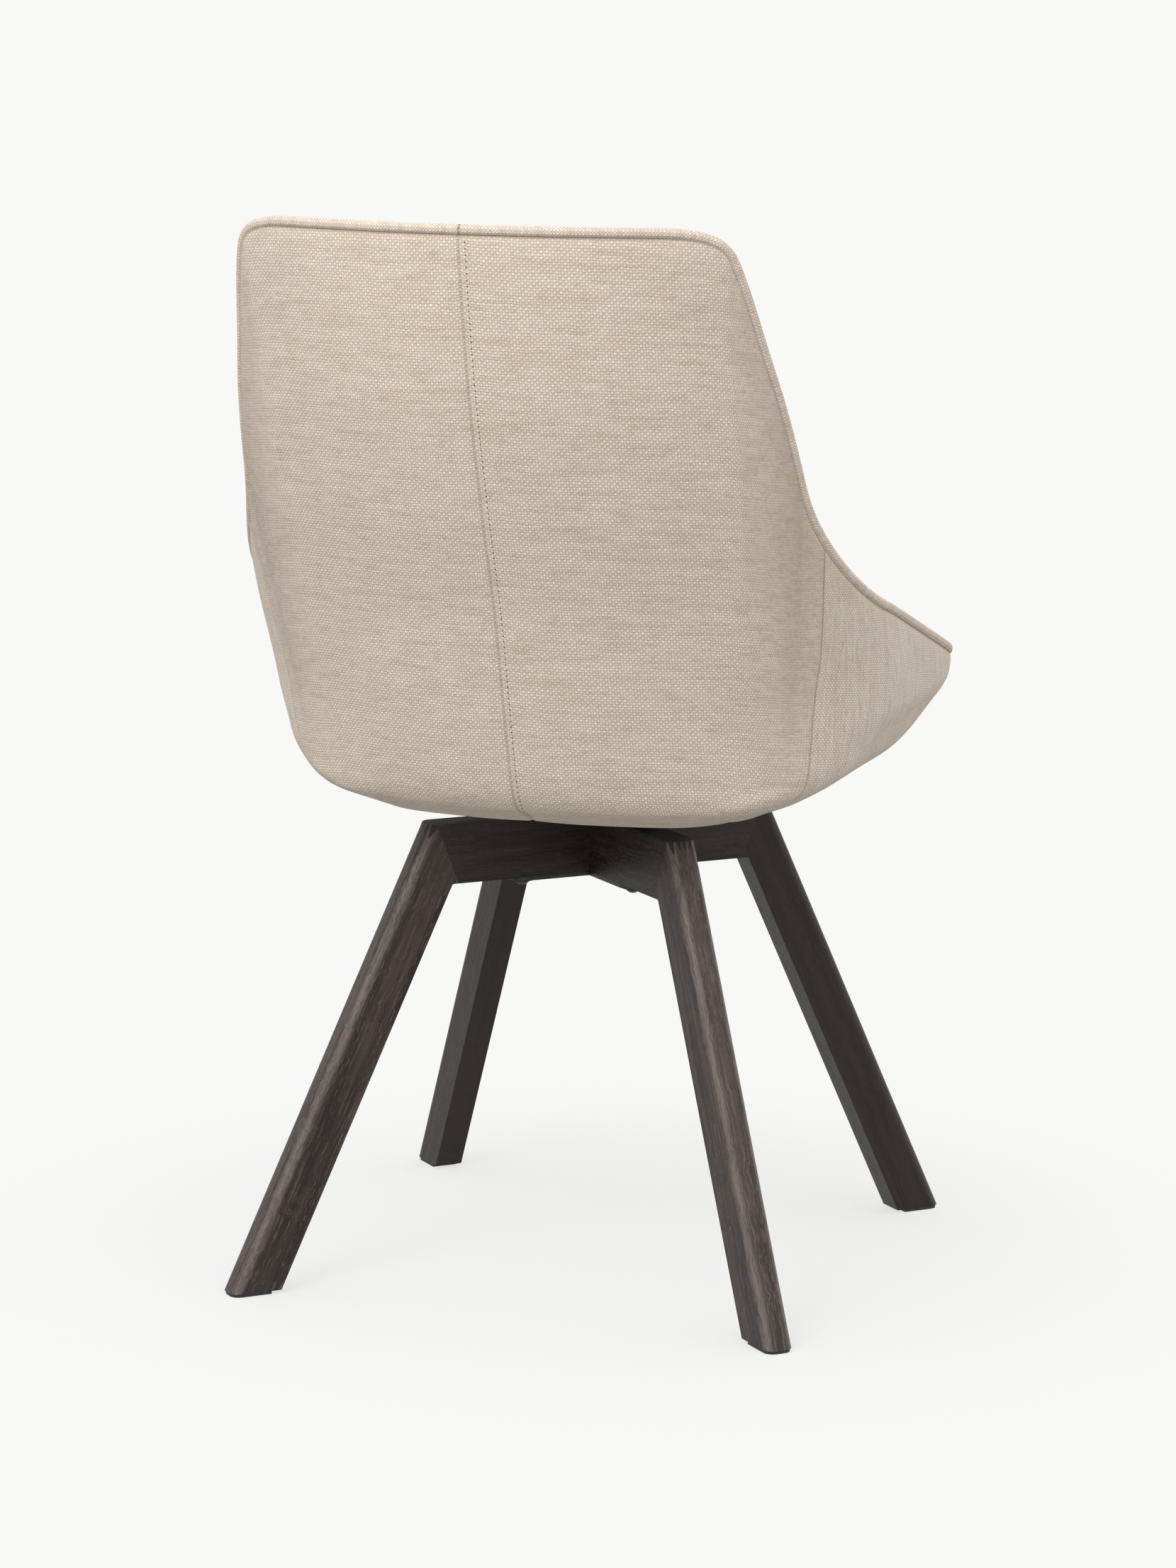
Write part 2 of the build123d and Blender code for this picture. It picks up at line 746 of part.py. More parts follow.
def welt():
    """Piping along the whole rim, through even circles square to its centre line, joined straight."""
    across = (1, 0, 0)
    path = Spline(*welt_centres(), tangents=(across, (-1, 0, 0)))
    circles = []
    for index in range(welt_steps + 1):
        place = path.position_at(index / welt_steps)
        way = path.tangent_at(index / welt_steps)
        outward = Vector(place.X, place.Y, 0)
        square = outward - way * outward.dot(way)
        circles.append(Plane(origin=place, x_dir=square, z_dir=way) * Circle(welt_radius))
    left = loft(circles, ruled=True)
    return left + mirror(left, Plane.YZ)


# ------------------------------------------------------------------ the whole chair
def base_parts():
    """Every piece of the base, by name."""
    rail, leg = frame_parts()
    parts = {}
    for name, turn in corners.items():
        parts["leg_" + name] = Rot(0, 0, turn) * leg
        parts["rail_" + name] = Rot(0, 0, turn) * rail
        parts["glide_" + name] = Rot(0, 0, turn) * glide()
    parts["glide_nails"] = group([Rot(0, 0, turn) * glide_nail() for turn in corners.values()])
    parts["cross_plate"] = cross_plate()
    parts["frame_washers"] = group([frame_washer(x, y) for x, y in frame_places()])
    parts["frame_bolts"] = group([frame_bolt(x, y) for x, y in frame_places()])
    parts["frame_nuts"] = group([frame_nut(x, y) for x, y in frame_places()])
    return parts


def swivel_parts():
    """Every piece of the swivel, by name."""
    return {
        "swivel_base_plate": swivel_base_plate(),
        "lower_race": lower_race(),
        "pivot_pin": pivot(),
        "pivot_washer": pivot_washer(),
        "pivot_nut": pivot_nut(),
        "bearing_balls": bearing_balls(),
        "ball_cage": ball_cage(),
        "upper_race": upper_race(),
        "pivot_bush": pivot_bush(),
        "swivel_top_plate": swivel_top_plate(),
    }


def seat_parts():
    """Every piece of the seat, by name."""
    parts = {
        "seat_screws": group([seat_screw(x, y) for x, y in seat_places()]),
        "tee_nuts": group([tee_nut(x, y) for x, y in seat_places()]),
        "dust_cover": dust_cover(),
        "seat_shell": seat_shell(),
        "seat_cushion": seat_cushion(),
        "welt": welt(),
    }
    parts.update(outer_covers())
    parts.update(inner_lining())
    return parts


def main():
    """Builds every piece and writes each to its own file."""
    os.makedirs("parts", exist_ok=True)
    for parts in (base_parts(), swivel_parts(), seat_parts()):
        for name, shape in parts.items():
            export_step(shape, "parts/" + name + ".step")


main()
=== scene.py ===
import logging
from collections.abc import Callable, Iterable
from dataclasses import dataclass
from enum import Enum

import bpy
import numpy as np
from mathutils import Matrix, Vector


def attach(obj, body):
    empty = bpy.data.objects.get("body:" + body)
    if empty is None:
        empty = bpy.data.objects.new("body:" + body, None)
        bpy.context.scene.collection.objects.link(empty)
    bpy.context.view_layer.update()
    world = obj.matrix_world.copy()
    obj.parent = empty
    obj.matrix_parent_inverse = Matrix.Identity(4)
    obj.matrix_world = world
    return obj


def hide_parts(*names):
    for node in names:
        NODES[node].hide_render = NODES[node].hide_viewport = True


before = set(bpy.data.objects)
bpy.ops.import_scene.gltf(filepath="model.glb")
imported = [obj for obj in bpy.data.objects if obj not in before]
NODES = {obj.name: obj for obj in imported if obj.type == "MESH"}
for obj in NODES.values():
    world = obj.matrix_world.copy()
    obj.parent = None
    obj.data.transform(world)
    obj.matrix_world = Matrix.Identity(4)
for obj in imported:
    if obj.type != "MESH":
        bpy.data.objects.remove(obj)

# A swivel dining chair seen from behind: basket-weave bucket seat with piping, on a swivel over four
# splayed legs of dark-stained wood. Metres, +Z up, floor at z = 0, the sitter faces -Y and the
# chair's left side is +X.

log = logging.getLogger("chair")
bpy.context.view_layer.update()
WEAVE = "weave"                      # attribute with the fabric's own coordinates, in metres

Array = np.ndarray
Piece = bpy.types.Object
Mesh = bpy.types.Mesh
Material = bpy.types.Material
Socket = bpy.types.NodeSocket
Input = Socket | float
Colour = tuple[float, float, float]
Band = tuple[float, float]           # two values between which something sets in
RIGHTWARDS = np.array([1.0, 0.0, 0.0])


class Side(Enum):
    """Side of the chair, with the sign of its X."""

    LEFT = 1
    RIGHT = -1


class Panel(Enum):
    """Piece of upholstery, by its place beside the side seam."""

    BACK = "back"
    SIDE = "side"
    WHOLE = "whole"


class Corner(Enum):
    """Corner of the wooden frame, with its direction in plan in degrees."""

    REAR_LEFT = 45
    REAR_RIGHT = 135
    FRONT_RIGHT = 225
    FRONT_LEFT = 315


# ------------------------------------------------------------------ meshes
def signed_volume(points: Array, quads: Array) -> float:
    """Volume inside a closed surface of quads, negative if its faces point inwards."""
    a, b, c, d = (points[quads[:, k]] for k in range(4))
    return float(np.einsum("ij,ij->i", a, np.cross(b, c) + np.cross(c, d)).sum() / 6)


def make_mesh(name: str, points: Array, quads: Array, weave: Array | None = None) -> Piece:
    """Makes a smooth mesh object with outward faces at the origin.

    Args:
        name: the object's name.
        points: vertex places, one row each.
        quads: vertex numbers of each face, four to a row.
        weave: fabric coordinates of each vertex, with the painted shadow of a seam as a third value.

    Returns:
        The linked object.
    """
    if signed_volume(points, quads) < 0:
        quads = quads[:, ::-1]
    mesh = bpy.data.meshes.new(name)
    mesh.vertices.add(len(points))
    mesh.vertices.foreach_set("co", points.astype(np.float32).ravel())
    mesh.loops.add(quads.size)
    mesh.loops.foreach_set("vertex_index", quads.astype(np.int32).ravel())
    mesh.polygons.add(len(quads))
    mesh.polygons.foreach_set("loop_start", np.arange(0, quads.size, 4, dtype=np.int32))
    mesh.polygons.foreach_set("use_smooth", np.ones(len(quads), dtype=bool))
    mesh.update(calc_edges=True)
    mesh.validate()
    if weave is not None:
        set_weave(mesh, weave)
    made = bpy.data.objects.new(name, mesh)
    bpy.context.scene.collection.objects.link(made)
    return made


def set_weave(mesh: Mesh, weave: Array) -> None:
    """Stores the fabric coordinates of every vertex.

    Args:
        mesh: the mesh that gets the attribute.
        weave: two coordinates in metres for each vertex, or three with the painted seam shadow.
    """
    store = mesh.attributes.new(WEAVE, "FLOAT_VECTOR", "POINT")
    flat = np.zeros((len(weave), 3), np.float32)
    flat[:, : weave.shape[1]] = weave
    store.data.foreach_set("vector", flat.ravel())


def vertex_array(mesh: Mesh) -> Array:
    """Vertex places of a mesh.

    Args:
        mesh: the mesh to read.

    Returns:
        One row for each vertex.
    """
    flat = np.zeros(len(mesh.vertices) * 3, np.float32)
    mesh.vertices.foreach_get("co", flat)
    return flat.reshape(-1, 3).astype(float)


def set_vertices(mesh: Mesh, points: Array) -> None:
    """Moves the vertices of a mesh to new places."""
    mesh.vertices.foreach_set("co", points.astype(np.float32).ravel())
    mesh.update()


def grid_quads(rows: int, columns: int, wrap_rows: bool = False, wrap_columns: bool = False) -> Array:
    """Quads of a grid whose vertices are numbered along its rows.

    Args:
        rows: how many rows of vertices the grid has.
        columns: how many vertices a row has.
        wrap_rows: whether the last row joins the first.
        wrap_columns: whether the last vertex of a row joins its first.

    Returns:
        Vertex numbers, four to a row: each vertex with the next ones along and above it.
    """
    row = np.arange(rows if wrap_rows else rows - 1)[:, None]
    column = np.arange(columns if wrap_columns else columns - 1)[None, :]
    below = row * columns
    above = (row + 1) % rows * columns
    after = (column + 1) % columns
    return np.stack([below + column, below + after, above + after, above + column], -1).reshape(-1, 4)


def closed_shell(outer: Array, inner: Array) -> tuple[Array, Array]:
    """Joins two grids of the same size into one closed thin shell.

    Args:
        outer: grid of places on the outer face, rows by columns by 3.
        inner: the same grid on the inner face.

    Returns:
        The vertices and the quads: both faces and the strip round their common border.
    """
    rows, columns = outer.shape[:2]
    count = rows * columns
    faces = grid_quads(rows, columns)
    number = np.arange(count).reshape(rows, columns)
    border = np.concatenate([number[0, :-1], number[:-1, -1], number[-1, :0:-1], number[:0:-1, 0]])
    after = np.roll(border, -1)
    strip = np.stack([after, border, border + count, after + count], -1)
    points = np.concatenate([outer.reshape(-1, 3), inner.reshape(-1, 3)])
    return points, np.concatenate([faces, faces[:, ::-1] + count, strip])


def grid_normals(points: Array) -> Array:
    """Unit normals of a grid, square to its row and column directions.

    Args:
        points: places, rows by columns by 3.

    Returns:
        The normals, in the same layout: the column direction crossed with the row direction.
    """
    along = np.gradient(points, axis=1)
    up = np.gradient(points, axis=0)
    normal = np.cross(up, along)
    return normal / np.maximum(np.linalg.norm(normal, axis=2, keepdims=True), 1e-12)


def tube(path: Array, radius: float, sides: int, out: Array) -> tuple[Array, Array, Array]:
    """Closed round tube along a closed path.

    Args:
        path: places of the centre line, evenly spaced.
        radius: the tube's radius.
        sides: vertices in a ring.
        out: direction that each ring starts from.

    Returns:
        Vertices, quads and fabric coordinates. A vertex is the centre plus the radius times the
        cosine of its angle along the outward direction plus its sine along the side direction.
    """
    way = np.roll(path, -1, axis=0) - np.roll(path, 1, axis=0)
    way /= np.linalg.norm(way, axis=1, keepdims=True)
    first = out - way * np.einsum("ij,ij->i", out, way)[:, None]
    first /= np.linalg.norm(first, axis=1, keepdims=True)
    second = np.cross(way, first)
    angle = np.linspace(0, 2 * np.pi, sides, endpoint=False)
    ring = np.cos(angle)[None, :, None] * first[:, None] + np.sin(angle)[None, :, None] * second[:, None]
    points = path[:, None] + radius * ring
    step = np.linalg.norm(np.diff(path, axis=0, append=path[:1]), axis=1)
    length = np.concatenate([[0.0], np.cumsum(step)[:-1]])
    turn = np.abs(angle - np.pi) * radius
    weave = np.stack(np.broadcast_arrays(length[:, None], turn[None, :]), -1)
    quads = grid_quads(len(path), sides, wrap_rows=True, wrap_columns=True)
    return points.reshape(-1, 3), quads, weave.reshape(-1, 2)


def crowded(count: int, low: float, high: float) -> Array:
    """Shares from 0 to 1 that lie closer together at the ends.

    Args:
        count: how many shares.
        low: power that crowds them near 0.
        high: power that crowds them near 1.

    Returns:
        The shares. Each blends the even share's low power, near 0, into 1 less the high power of
        what is left, near 1.
    """
    share = np.linspace(0, 1, count)
    rising = share ** low
    falling = 1 - (1 - share) ** high
    return rising * (1 - share) + falling * share


def mirrored(points: Array, side: Side) -> Array:
    """The same places on a side of the chair."""
    return points * np.array([side.value, 1, 1])


def arc_lengths(points: Array, axis: int) -> Array:
    """Distance run along a grid's rows or columns.

    Args:
        points: places, rows by columns by 3.
        axis: 1 to run along the rows, 0 to run up the columns.

    Returns:
        The distance of each place from the first one of its row or column.
    """
    step = np.linalg.norm(np.diff(points, axis=axis), axis=2)
    run = np.cumsum(step, axis=axis)
    start = np.zeros_like(np.take(run, [0], axis=axis))
    return np.concatenate([start, run], axis=axis)


WAVES = ((31.0, 17.0, 9.0, 0.4), (-19.0, 8.0, 37.0, 2.1), (52.0, -23.0, 21.0, 4.0), (11.0, 44.0, -49.0, 5.2))


def ripple(points: Array, size: float) -> Array:
    """Gentle unevenness of padded cloth.

    Args:
        points: places on the cloth.
        size: height of the unevenness.

    Returns:
        The height at each place: the mean of four slanted sine waves, times the size.
    """
    total = sum(np.sin(points @ np.array(wave[:3]) + wave[3]) for wave in WAVES)
    return size * total / len(WAVES)


# ------------------------------------------------------------------ the bucket's form
@dataclass(frozen=True)
class Level:
    """A level outline of the bucket, in metres above its underside."""

    height: float
    half_width: float
    back: float
    front: float
    back_radius: float
    rear_corner: float
    front_corner: float


@dataclass(frozen=True)
class Form:
    """Sizes of the bucket: its level outlines, its rim in side view and its side seam."""

    underside: float = 0.3947
    front_radius: float = 0.460
    least_corner: float = 0.020
    lining_inset: float = 0.0146
    levels: tuple[Level, ...] = (
        Level(0.0, 0.159, 0.160, -0.126, 0.400, 0.078, 0.113),
        Level(0.005, 0.1700, 0.1715, -0.135, 0.385, 0.078, 0.115),
        Level(0.017, 0.1975, 0.1980, -0.156, 0.345, 0.078, 0.116),
        Level(0.039, 0.2305, 0.2120, -0.203, 0.300, 0.098, 0.108),
        Level(0.064, 0.2470, 0.2205, -0.2415, 0.294, 0.138, 0.096),
        Level(0.089, 0.2600, 0.228, -0.260, 0.290, 0.171, 0.086),
        Level(0.169, 0.267, 0.250, -0.271, 0.313, 0.149, 0.085),
        Level(0.269, 0.272, 0.2865, -0.286, 0.332, 0.107, 0.087),
        Level(0.369, 0.279, 0.3175, -0.303, 0.346, 0.065, 0.093),
        Level(0.500, 0.285, 0.343, -0.326, 0.440, 0.030, 0.104),
    )
    rim_corners: tuple[tuple[float, float], ...] = (        # (y, height) above the underside
        (1.4, 0.4815), (0.288, 0.4815), (0.155, 0.203), (-0.172, 0.1055), (-0.330, 0.044),
    )
    rim_radii: tuple[float, ...] = (0.033, 0.200, 0.150)
    arc_points: int = 24
    seam_heights: tuple[float, ...] = (0.0, 0.030, 0.060, 0.100, 0.140, 0.180, 0.220, 0.260, 0.500)
    seam_places: tuple[float, ...] = (0.112, 0.118, 0.1225, 0.1285, 0.1375, 0.1500, 0.1640, 0.1770, 0.2600)

    def rim_line(self, drop: float) -> Array:
        """The rim in side view, lowered square to itself.

        Each corner is an arc: its centre lies on the corner's bisector at the radius over the sine
        of half the angle, and its points run between the two tangent points.

        Args:
            drop: how far the line is lowered.

        Returns:
            Places as (y, height), from the front to the back.
        """
        corners = np.array(self.rim_corners)
        runs = [corners[:1]]
        for index, radius in enumerate(self.rim_radii, start=1):
            ways = corners[[index - 1, index + 1]] - corners[index]
            ways /= np.linalg.norm(ways, axis=1, keepdims=True)
            half = np.arccos(np.clip(ways[0] @ ways[1], -1, 1)) / 2
            bisector = ways.sum(0) / np.linalg.norm(ways.sum(0))
            centre = corners[index] + bisector * radius / np.sin(half)
            ends = corners[index] + ways * radius / np.tan(half) - centre
            start, stop = np.arctan2(ends[:, 1], ends[:, 0])
            sweep = (stop - start + np.pi) % (2 * np.pi) - np.pi
            angle = start + sweep * np.linspace(0, 1, self.arc_points)
            runs.append(centre + radius * np.stack([np.cos(angle), np.sin(angle)], 1))
        runs.append(corners[-1:])
        line = np.concatenate(runs)
        way = np.gradient(line, axis=0)
        way /= np.linalg.norm(way, axis=1, keepdims=True)
        below = np.stack([-way[:, 1], way[:, 0]], 1)
        below *= -np.sign(below[:, 1:])
        return (line + below * drop)[::-1]


FORM = Form()
SIZES = ("half_width", "back", "front", "back_radius", "rear_corner", "front_corner")


def smooth_steps(knots: Array, values: Array, at: Array) -> Array:
    """Monotone cubic through the knots, level beyond them.

    Inner slopes are weighted harmonic means of their neighbours' slopes. At either end the slope
    goes on from the first two runs in a straight line, and is cut to keep the curve from turning
    back.

    Args:
        knots: heights of the knots, rising.
        values: the value at each knot.
        at: heights that are asked for.

    Returns:
        The value at each height.
    """
    at = np.clip(np.asarray(at, float), knots[0], knots[-1])
    step = np.diff(knots)
    slope = np.diff(values) / step
    left, right = slope[:-1], slope[1:]
    same = left * right > 0
    one, two = 2 * step[1:] + step[:-1], step[1:] + 2 * step[:-1]
    with np.errstate(divide="ignore", invalid="ignore"):
        mean = np.where(same, (one + two) / (one / left + two / right), 0)
    ends = []
    for near, next_one, near_step, next_step in ((slope[0], slope[1], step[0], step[1]),
                                                 (slope[-1], slope[-2], step[-1], step[-2])):
        end = ((2 * near_step + next_step) * near - near_step * next_one) / (near_step + next_step)
        if end * near <= 0:
            end = 0.0
        elif near * next_one <= 0 and abs(end) > 3 * abs(near):
            end = 3 * near
        ends.append(end)
    slopes = np.concatenate([[ends[0]], mean, [ends[1]]])
    index = np.clip(np.searchsorted(knots, at, side="right") - 1, 0, len(step) - 1)
    share = (at - knots[index]) / step[index]
    rest = 1 - share
    start, stop = values[index], values[index + 1]
    bend_start = slopes[index] * step[index]
    bend_stop = slopes[index + 1] * step[index]
    inside = start * rest**2 * (1 + 2 * share) + stop * share**2 * (3 - 2 * share)
    return inside + share * rest * (bend_start * rest - bend_stop * share)


def halved(low: Array, high: Array, times: int, holds: Callable[[Array], Array]) -> Array:
    """Finds where a condition stops holding, by halving the span again and again.

    Args:
        low: values at which it holds.
        high: values at which it doesn't.
        times: how often the span is halved.
        holds: tells for each value whether the condition holds.

    Returns:
        The middle of the last span.
    """
    for _ in range(times):
        middle = (low + high) / 2
        held = holds(middle)
        low, high = np.where(held, middle, low), np.where(held, high, middle)
    return (low + high) / 2


class Wall:
    """The bucket's surface moved inwards by an inset, with its panels and its rim."""

    SEAM_SAMPLES = 500
    SEAM_HALVINGS = 30
    RIM_HALVINGS = 34
    STEEPEST = 0.999                     # largest sine of the turn at the end of a wide arc

    def __init__(self, inset: float, front_inset: float | None = None) -> None:
        """Works out the moved outlines.

        Args:
            inset: distance moved in at the back and the sides, square to the wall.
            front_inset: the same at the front.
        """
        front_inset = inset if front_inset is None else front_inset
        levels = FORM.levels
        height = np.array([level.height for level in levels])
        width = np.array([level.half_width for level in levels])
        above = np.minimum(np.arange(len(levels)) + 1, len(levels) - 1)
        below = np.maximum(np.arange(len(levels)) - 1, 0)
        rise, run = height[above] - height[below], width[above] - width[below]
        upright = rise / np.hypot(rise, run)
        flat = np.maximum(run / np.hypot(rise, run), 0)
        flat[0] = 1.0
        self.heights = height + min(inset, FORM.lining_inset) * flat
        moved = {"half_width": -inset * upright, "back": -inset * upright, "front": front_inset * upright,
                 "back_radius": -inset + 0 * upright, "rear_corner": -inset * upright,
                 "front_corner": -front_inset * upright}
        self.sizes = {name: np.array([getattr(level, name) for level in levels]) + moved[name] for name in SIZES}
        for name in ("rear_corner", "front_corner"):
            self.sizes[name] = np.maximum(self.sizes[name], FORM.least_corner)
        self.seam_heights = np.linspace(0, self.heights[-1], self.SEAM_SAMPLES)
        self.seam_shares = self._share_at_seam(self.seam_heights)

    def at(self, share: Array, height: Array, inset: float | Array = 0.0) -> Array:
        """Places on the wall's left half.

        The outline runs from the middle of the back along a wide arc, a corner arc, a straight, a
        second corner arc and a second wide arc to the middle of the front.

        Args:
            share: share of the outline's length, from the back's middle.
            height: height above the underside.
            inset: how much further in the outline is drawn, evenly.

        Returns:
            The places, in the common shape of share and height, by 3.
        """
        half, back, front, wide, rear, corner = (smooth_steps(self.heights, self.sizes[n], height) for n in SIZES)
        half, back, front, wide = half - inset, back - inset, front + inset, wide - inset
        rear = np.maximum(rear - inset, FORM.least_corner)
        corner = np.maximum(corner - inset, FORM.least_corner)
        turn = np.arcsin(np.clip((half - rear) / (wide - rear), -self.STEEPEST, self.STEEPEST))
        sine_front = (half - corner) / (FORM.front_radius - corner)
        turn_front = np.arcsin(np.clip(sine_front, -self.STEEPEST, self.STEEPEST))
        rear_y = back - wide + (wide - rear) * np.cos(turn)
        front_y = front + FORM.front_radius - (FORM.front_radius - corner) * np.cos(turn_front)
        late = np.pi / 2 - turn_front
        lengths = [wide * turn, rear * (np.pi / 2 - turn), rear_y - front_y, corner * late,
                   FORM.front_radius * turn_front]
        left = share * sum(lengths)
        gone = []
        for length in lengths:
            gone.append(np.clip(left, 0, length))
            left = left - length
        one, two, four, five = (gone[0] / wide, turn + gone[1] / rear, gone[3] / corner,
                                late + gone[4] / FORM.front_radius)
        x = wide * np.sin(one) + rear * (np.sin(two) - np.sin(turn)) - corner * (1 - np.cos(four))
        x = x - FORM.front_radius * (np.cos(late) - np.cos(five))
        y = back - wide * (1 - np.cos(one)) + rear * (np.cos(two) - np.cos(turn)) - gone[2]
        y = y - corner * np.sin(four) - FORM.front_radius * (np.sin(five) - np.sin(late))
        return np.stack(np.broadcast_arrays(x, y, FORM.underside + height), -1)

    def _share_at_seam(self, height: Array) -> Array:
        """Where the side seam crosses the outline.

        Args:
            height: heights above the underside.

        Returns:
            Share of the outline at each height.
        """
        seam_y = np.interp(height, FORM.seam_heights, FORM.seam_places)
        return halved(np.zeros_like(height), np.ones_like(height), self.SEAM_HALVINGS,
                      lambda share: self.at(share, height)[..., 1] > seam_y)

    def share(self, panel: Panel, across: Array, height: Array) -> Array:
        """Share of the outline for a place across a panel.

        Args:
            panel: the panel.
            across: from 0 at the panel's rear edge to 1 at its front edge.
            height: height above the underside.

        Returns:
            Share of the outline, from the back's middle.
        """
        seam = np.interp(height, self.seam_heights, self.seam_shares)
        if panel is Panel.BACK:
            return across * seam
        if panel is Panel.SIDE:
            return seam + across * (1 - seam)
        return across + 0 * height

    def rim(self, panel: Panel, across: Array, drop: float) -> Array:
        """Height at which the wall meets the lowered rim line.

        Args:
            panel: the panel.
            across: places across the panel, from 0 to 1.
            drop: how far the rim line is lowered.

        Returns:
            Height above the underside at each place.
        """
        line = FORM.rim_line(drop)

        def under(height: Array) -> Array:
            """Whether the wall at a height still lies under the line."""
            y = self.at(self.share(panel, across, height), height)[..., 1]
            return height < np.interp(y, line[:, 0], line[:, 1])

        return halved(np.zeros_like(across), np.full_like(across, self.heights[-1]), self.RIM_HALVINGS, under)

    def patch(self, panel: Panel, across: Array, up: Array, drop: float, foot: float = 0.0) -> Array:
        """Grid of places on a panel.

        Args:
            panel: the panel.
            across: places across the panel, from 0 to 1.
            up: shares of the way from the foot to the rim, one for each row.
            drop: how far the rim line is lowered.
            foot: height above the underside at which the rows start.

        Returns:
            Places, rows by columns by 3.
        """
        top = self.rim(panel, across, drop)[None, :]
        height = foot + (top - foot) * up[:, None]
        return self.at(self.share(panel, across[None, :], height), height)


# ------------------------------------------------------------------ finishes
class Nodes:
    """A material's node tree, with short ways to add its nodes."""

    def __init__(self, name: str) -> None:
        """Makes a material that holds one principled shader.

        Args:
            name: the material's name.
        """
        self.material = bpy.data.materials.new(name)
        self.material.use_nodes = True
        self.tree = self.material.node_tree
        self.shader = self.tree.nodes["Principled BSDF"]

    def add(self, kind: str, **settings: object) -> bpy.types.Node:
        """Adds a node.

        Args:
            kind: the node's type.
            settings: properties to set on it.

        Returns:
            The new node.
        """
        node = self.tree.nodes.new(kind)
        for name, value in settings.items():
            setattr(node, name, value)
        return node

    def link(self, out: Socket, into: Socket) -> None:
        """Joins two sockets."""
        self.tree.links.new(out, into)

    def feed(self, socket: Socket, value: Input | Colour) -> None:
        """Gives a socket its input.

        Args:
            socket: the socket.
            value: another socket to link it to, or a value to set.
        """
        if isinstance(value, Socket):
            self.link(value, socket)
        else:
            socket.default_value = value

    def math(self, operation: str, *values: Input) -> Socket:
        """Result of a math node.

        Args:
            operation: Blender's name of the operation.
            values: its one or two inputs.

        Returns:
            The result's socket.
        """
        node = self.add("ShaderNodeMath", operation=operation)
        for socket, value in zip(node.inputs, values):
            self.feed(socket, value)
        return node.outputs[0]

    def plus(self, one: Input, two: Input) -> Socket:
        """Sum of two values."""
        return self.math("ADD", one, two)

    def minus(self, one: Input, two: Input) -> Socket:
        """Difference of two values."""
        return self.math("SUBTRACT", one, two)

    def times(self, one: Input, two: Input) -> Socket:
        """Product of two values."""
        return self.math("MULTIPLY", one, two)

    def steps(self, value: Input, low: float, high: float, to_low: float = 0.0, to_high: float = 1.0) -> Socket:
        """Smooth change from one value to another.

        Args:
            value: what the change follows.
            low: where it starts.
            high: where it ends.
            to_low: result at the start.
            to_high: result at the end.

        Returns:
            The result's socket.
        """
        node = self.add("ShaderNodeMapRange", interpolation_type="SMOOTHSTEP")
        for name, number in (("Value", value), ("From Min", low), ("From Max", high),
                             ("To Min", to_low), ("To Max", to_high)):
            self.feed(node.inputs[name], number)
        return node.outputs["Result"]

    def noise(self, vector: Socket, scale: float, detail: float = 2.0, rough: float = 0.5) -> Socket:
        """Value of a noise texture.

        Args:
            vector: the place.
            scale: features per metre.
            detail: how many finer layers are added.
            rough: how strong the finer layers are.

        Returns:
            The noise, about 0 to 1.
        """
        node = self.add("ShaderNodeTexNoise")
        self.link(vector, node.inputs["Vector"])
        node.inputs["Scale"].default_value = scale
        node.inputs["Detail"].default_value = detail
        node.inputs["Roughness"].default_value = rough
        return node.outputs["Fac"]

    def wander(self, vector: Socket, scale: float, reach: float) -> Socket:
        """Noise of one layer, between minus and plus half a reach."""
        return self.centred(self.noise(vector, scale, 1.0), reach)

    def centred(self, noise: Socket, reach: float) -> Socket:
        """A value of 0 to 1 moved to lie round nothing, times a reach."""
        return self.times(self.minus(noise, 0.5), reach)

    def combine(self, x: Input, y: Input, z: Input = 0.0) -> Socket:
        """A vector of three values.

        Args:
            x: the first value.
            y: the second.
            z: the third.

        Returns:
            The vector's socket.
        """
        node = self.add("ShaderNodeCombineXYZ")
        for socket, value in zip(node.inputs, (x, y, z)):
            self.feed(socket, value)
        return node.outputs[0]

    def split(self, vector: Socket) -> tuple[Socket, ...]:
        """The three values of a vector.

        Args:
            vector: the vector's socket.

        Returns:
            The sockets of its values.
        """
        node = self.add("ShaderNodeSeparateXYZ")
        self.link(vector, node.inputs[0])
        return tuple(node.outputs)

    def mapped(self, vector: Socket, turn: Colour = (0.0, 0.0, 0.0), scale: Colour = (1.0, 1.0, 1.0)) -> Socket:
        """A vector turned and stretched.

        Args:
            vector: the vector's socket.
            turn: rotation about X, Y and Z in degrees.
            scale: factor along X, Y and Z.

        Returns:
            The new vector's socket.
        """
        node = self.add("ShaderNodeMapping")
        self.link(vector, node.inputs["Vector"])
        node.inputs["Rotation"].default_value = tuple(float(np.radians(angle)) for angle in turn)
        node.inputs["Scale"].default_value = scale
        return node.outputs[0]

    def mix(self, share: Input, one: Socket | Colour, two: Socket | Colour) -> Socket:
        """Mix of two colours.

        Args:
            share: share of the second colour.
            one: the first colour.
            two: the second colour.

        Returns:
            The mixed colour's socket.
        """
        node = self.add("ShaderNodeMix", data_type="RGBA", blend_type="MIX")
        self.feed(node.inputs[0], share)
        for socket, value in ((node.inputs[6], one), (node.inputs[7], two)):
            self.feed(socket, value if isinstance(value, Socket) else (*value, 1.0))
        return node.outputs[2]

    def tinted(self, colour: Socket | Colour, tints: Iterable[tuple[Socket, float, Colour]]) -> Socket:
        """A colour with several tints mixed in, one after another.

        Args:
            colour: the colour to start from.
            tints: where each tint shows, how strongly, and its colour.

        Returns:
            The last colour's socket.
        """
        for where, strength, tint in tints:
            colour = self.mix(self.times(where, strength), colour, tint)
        return colour

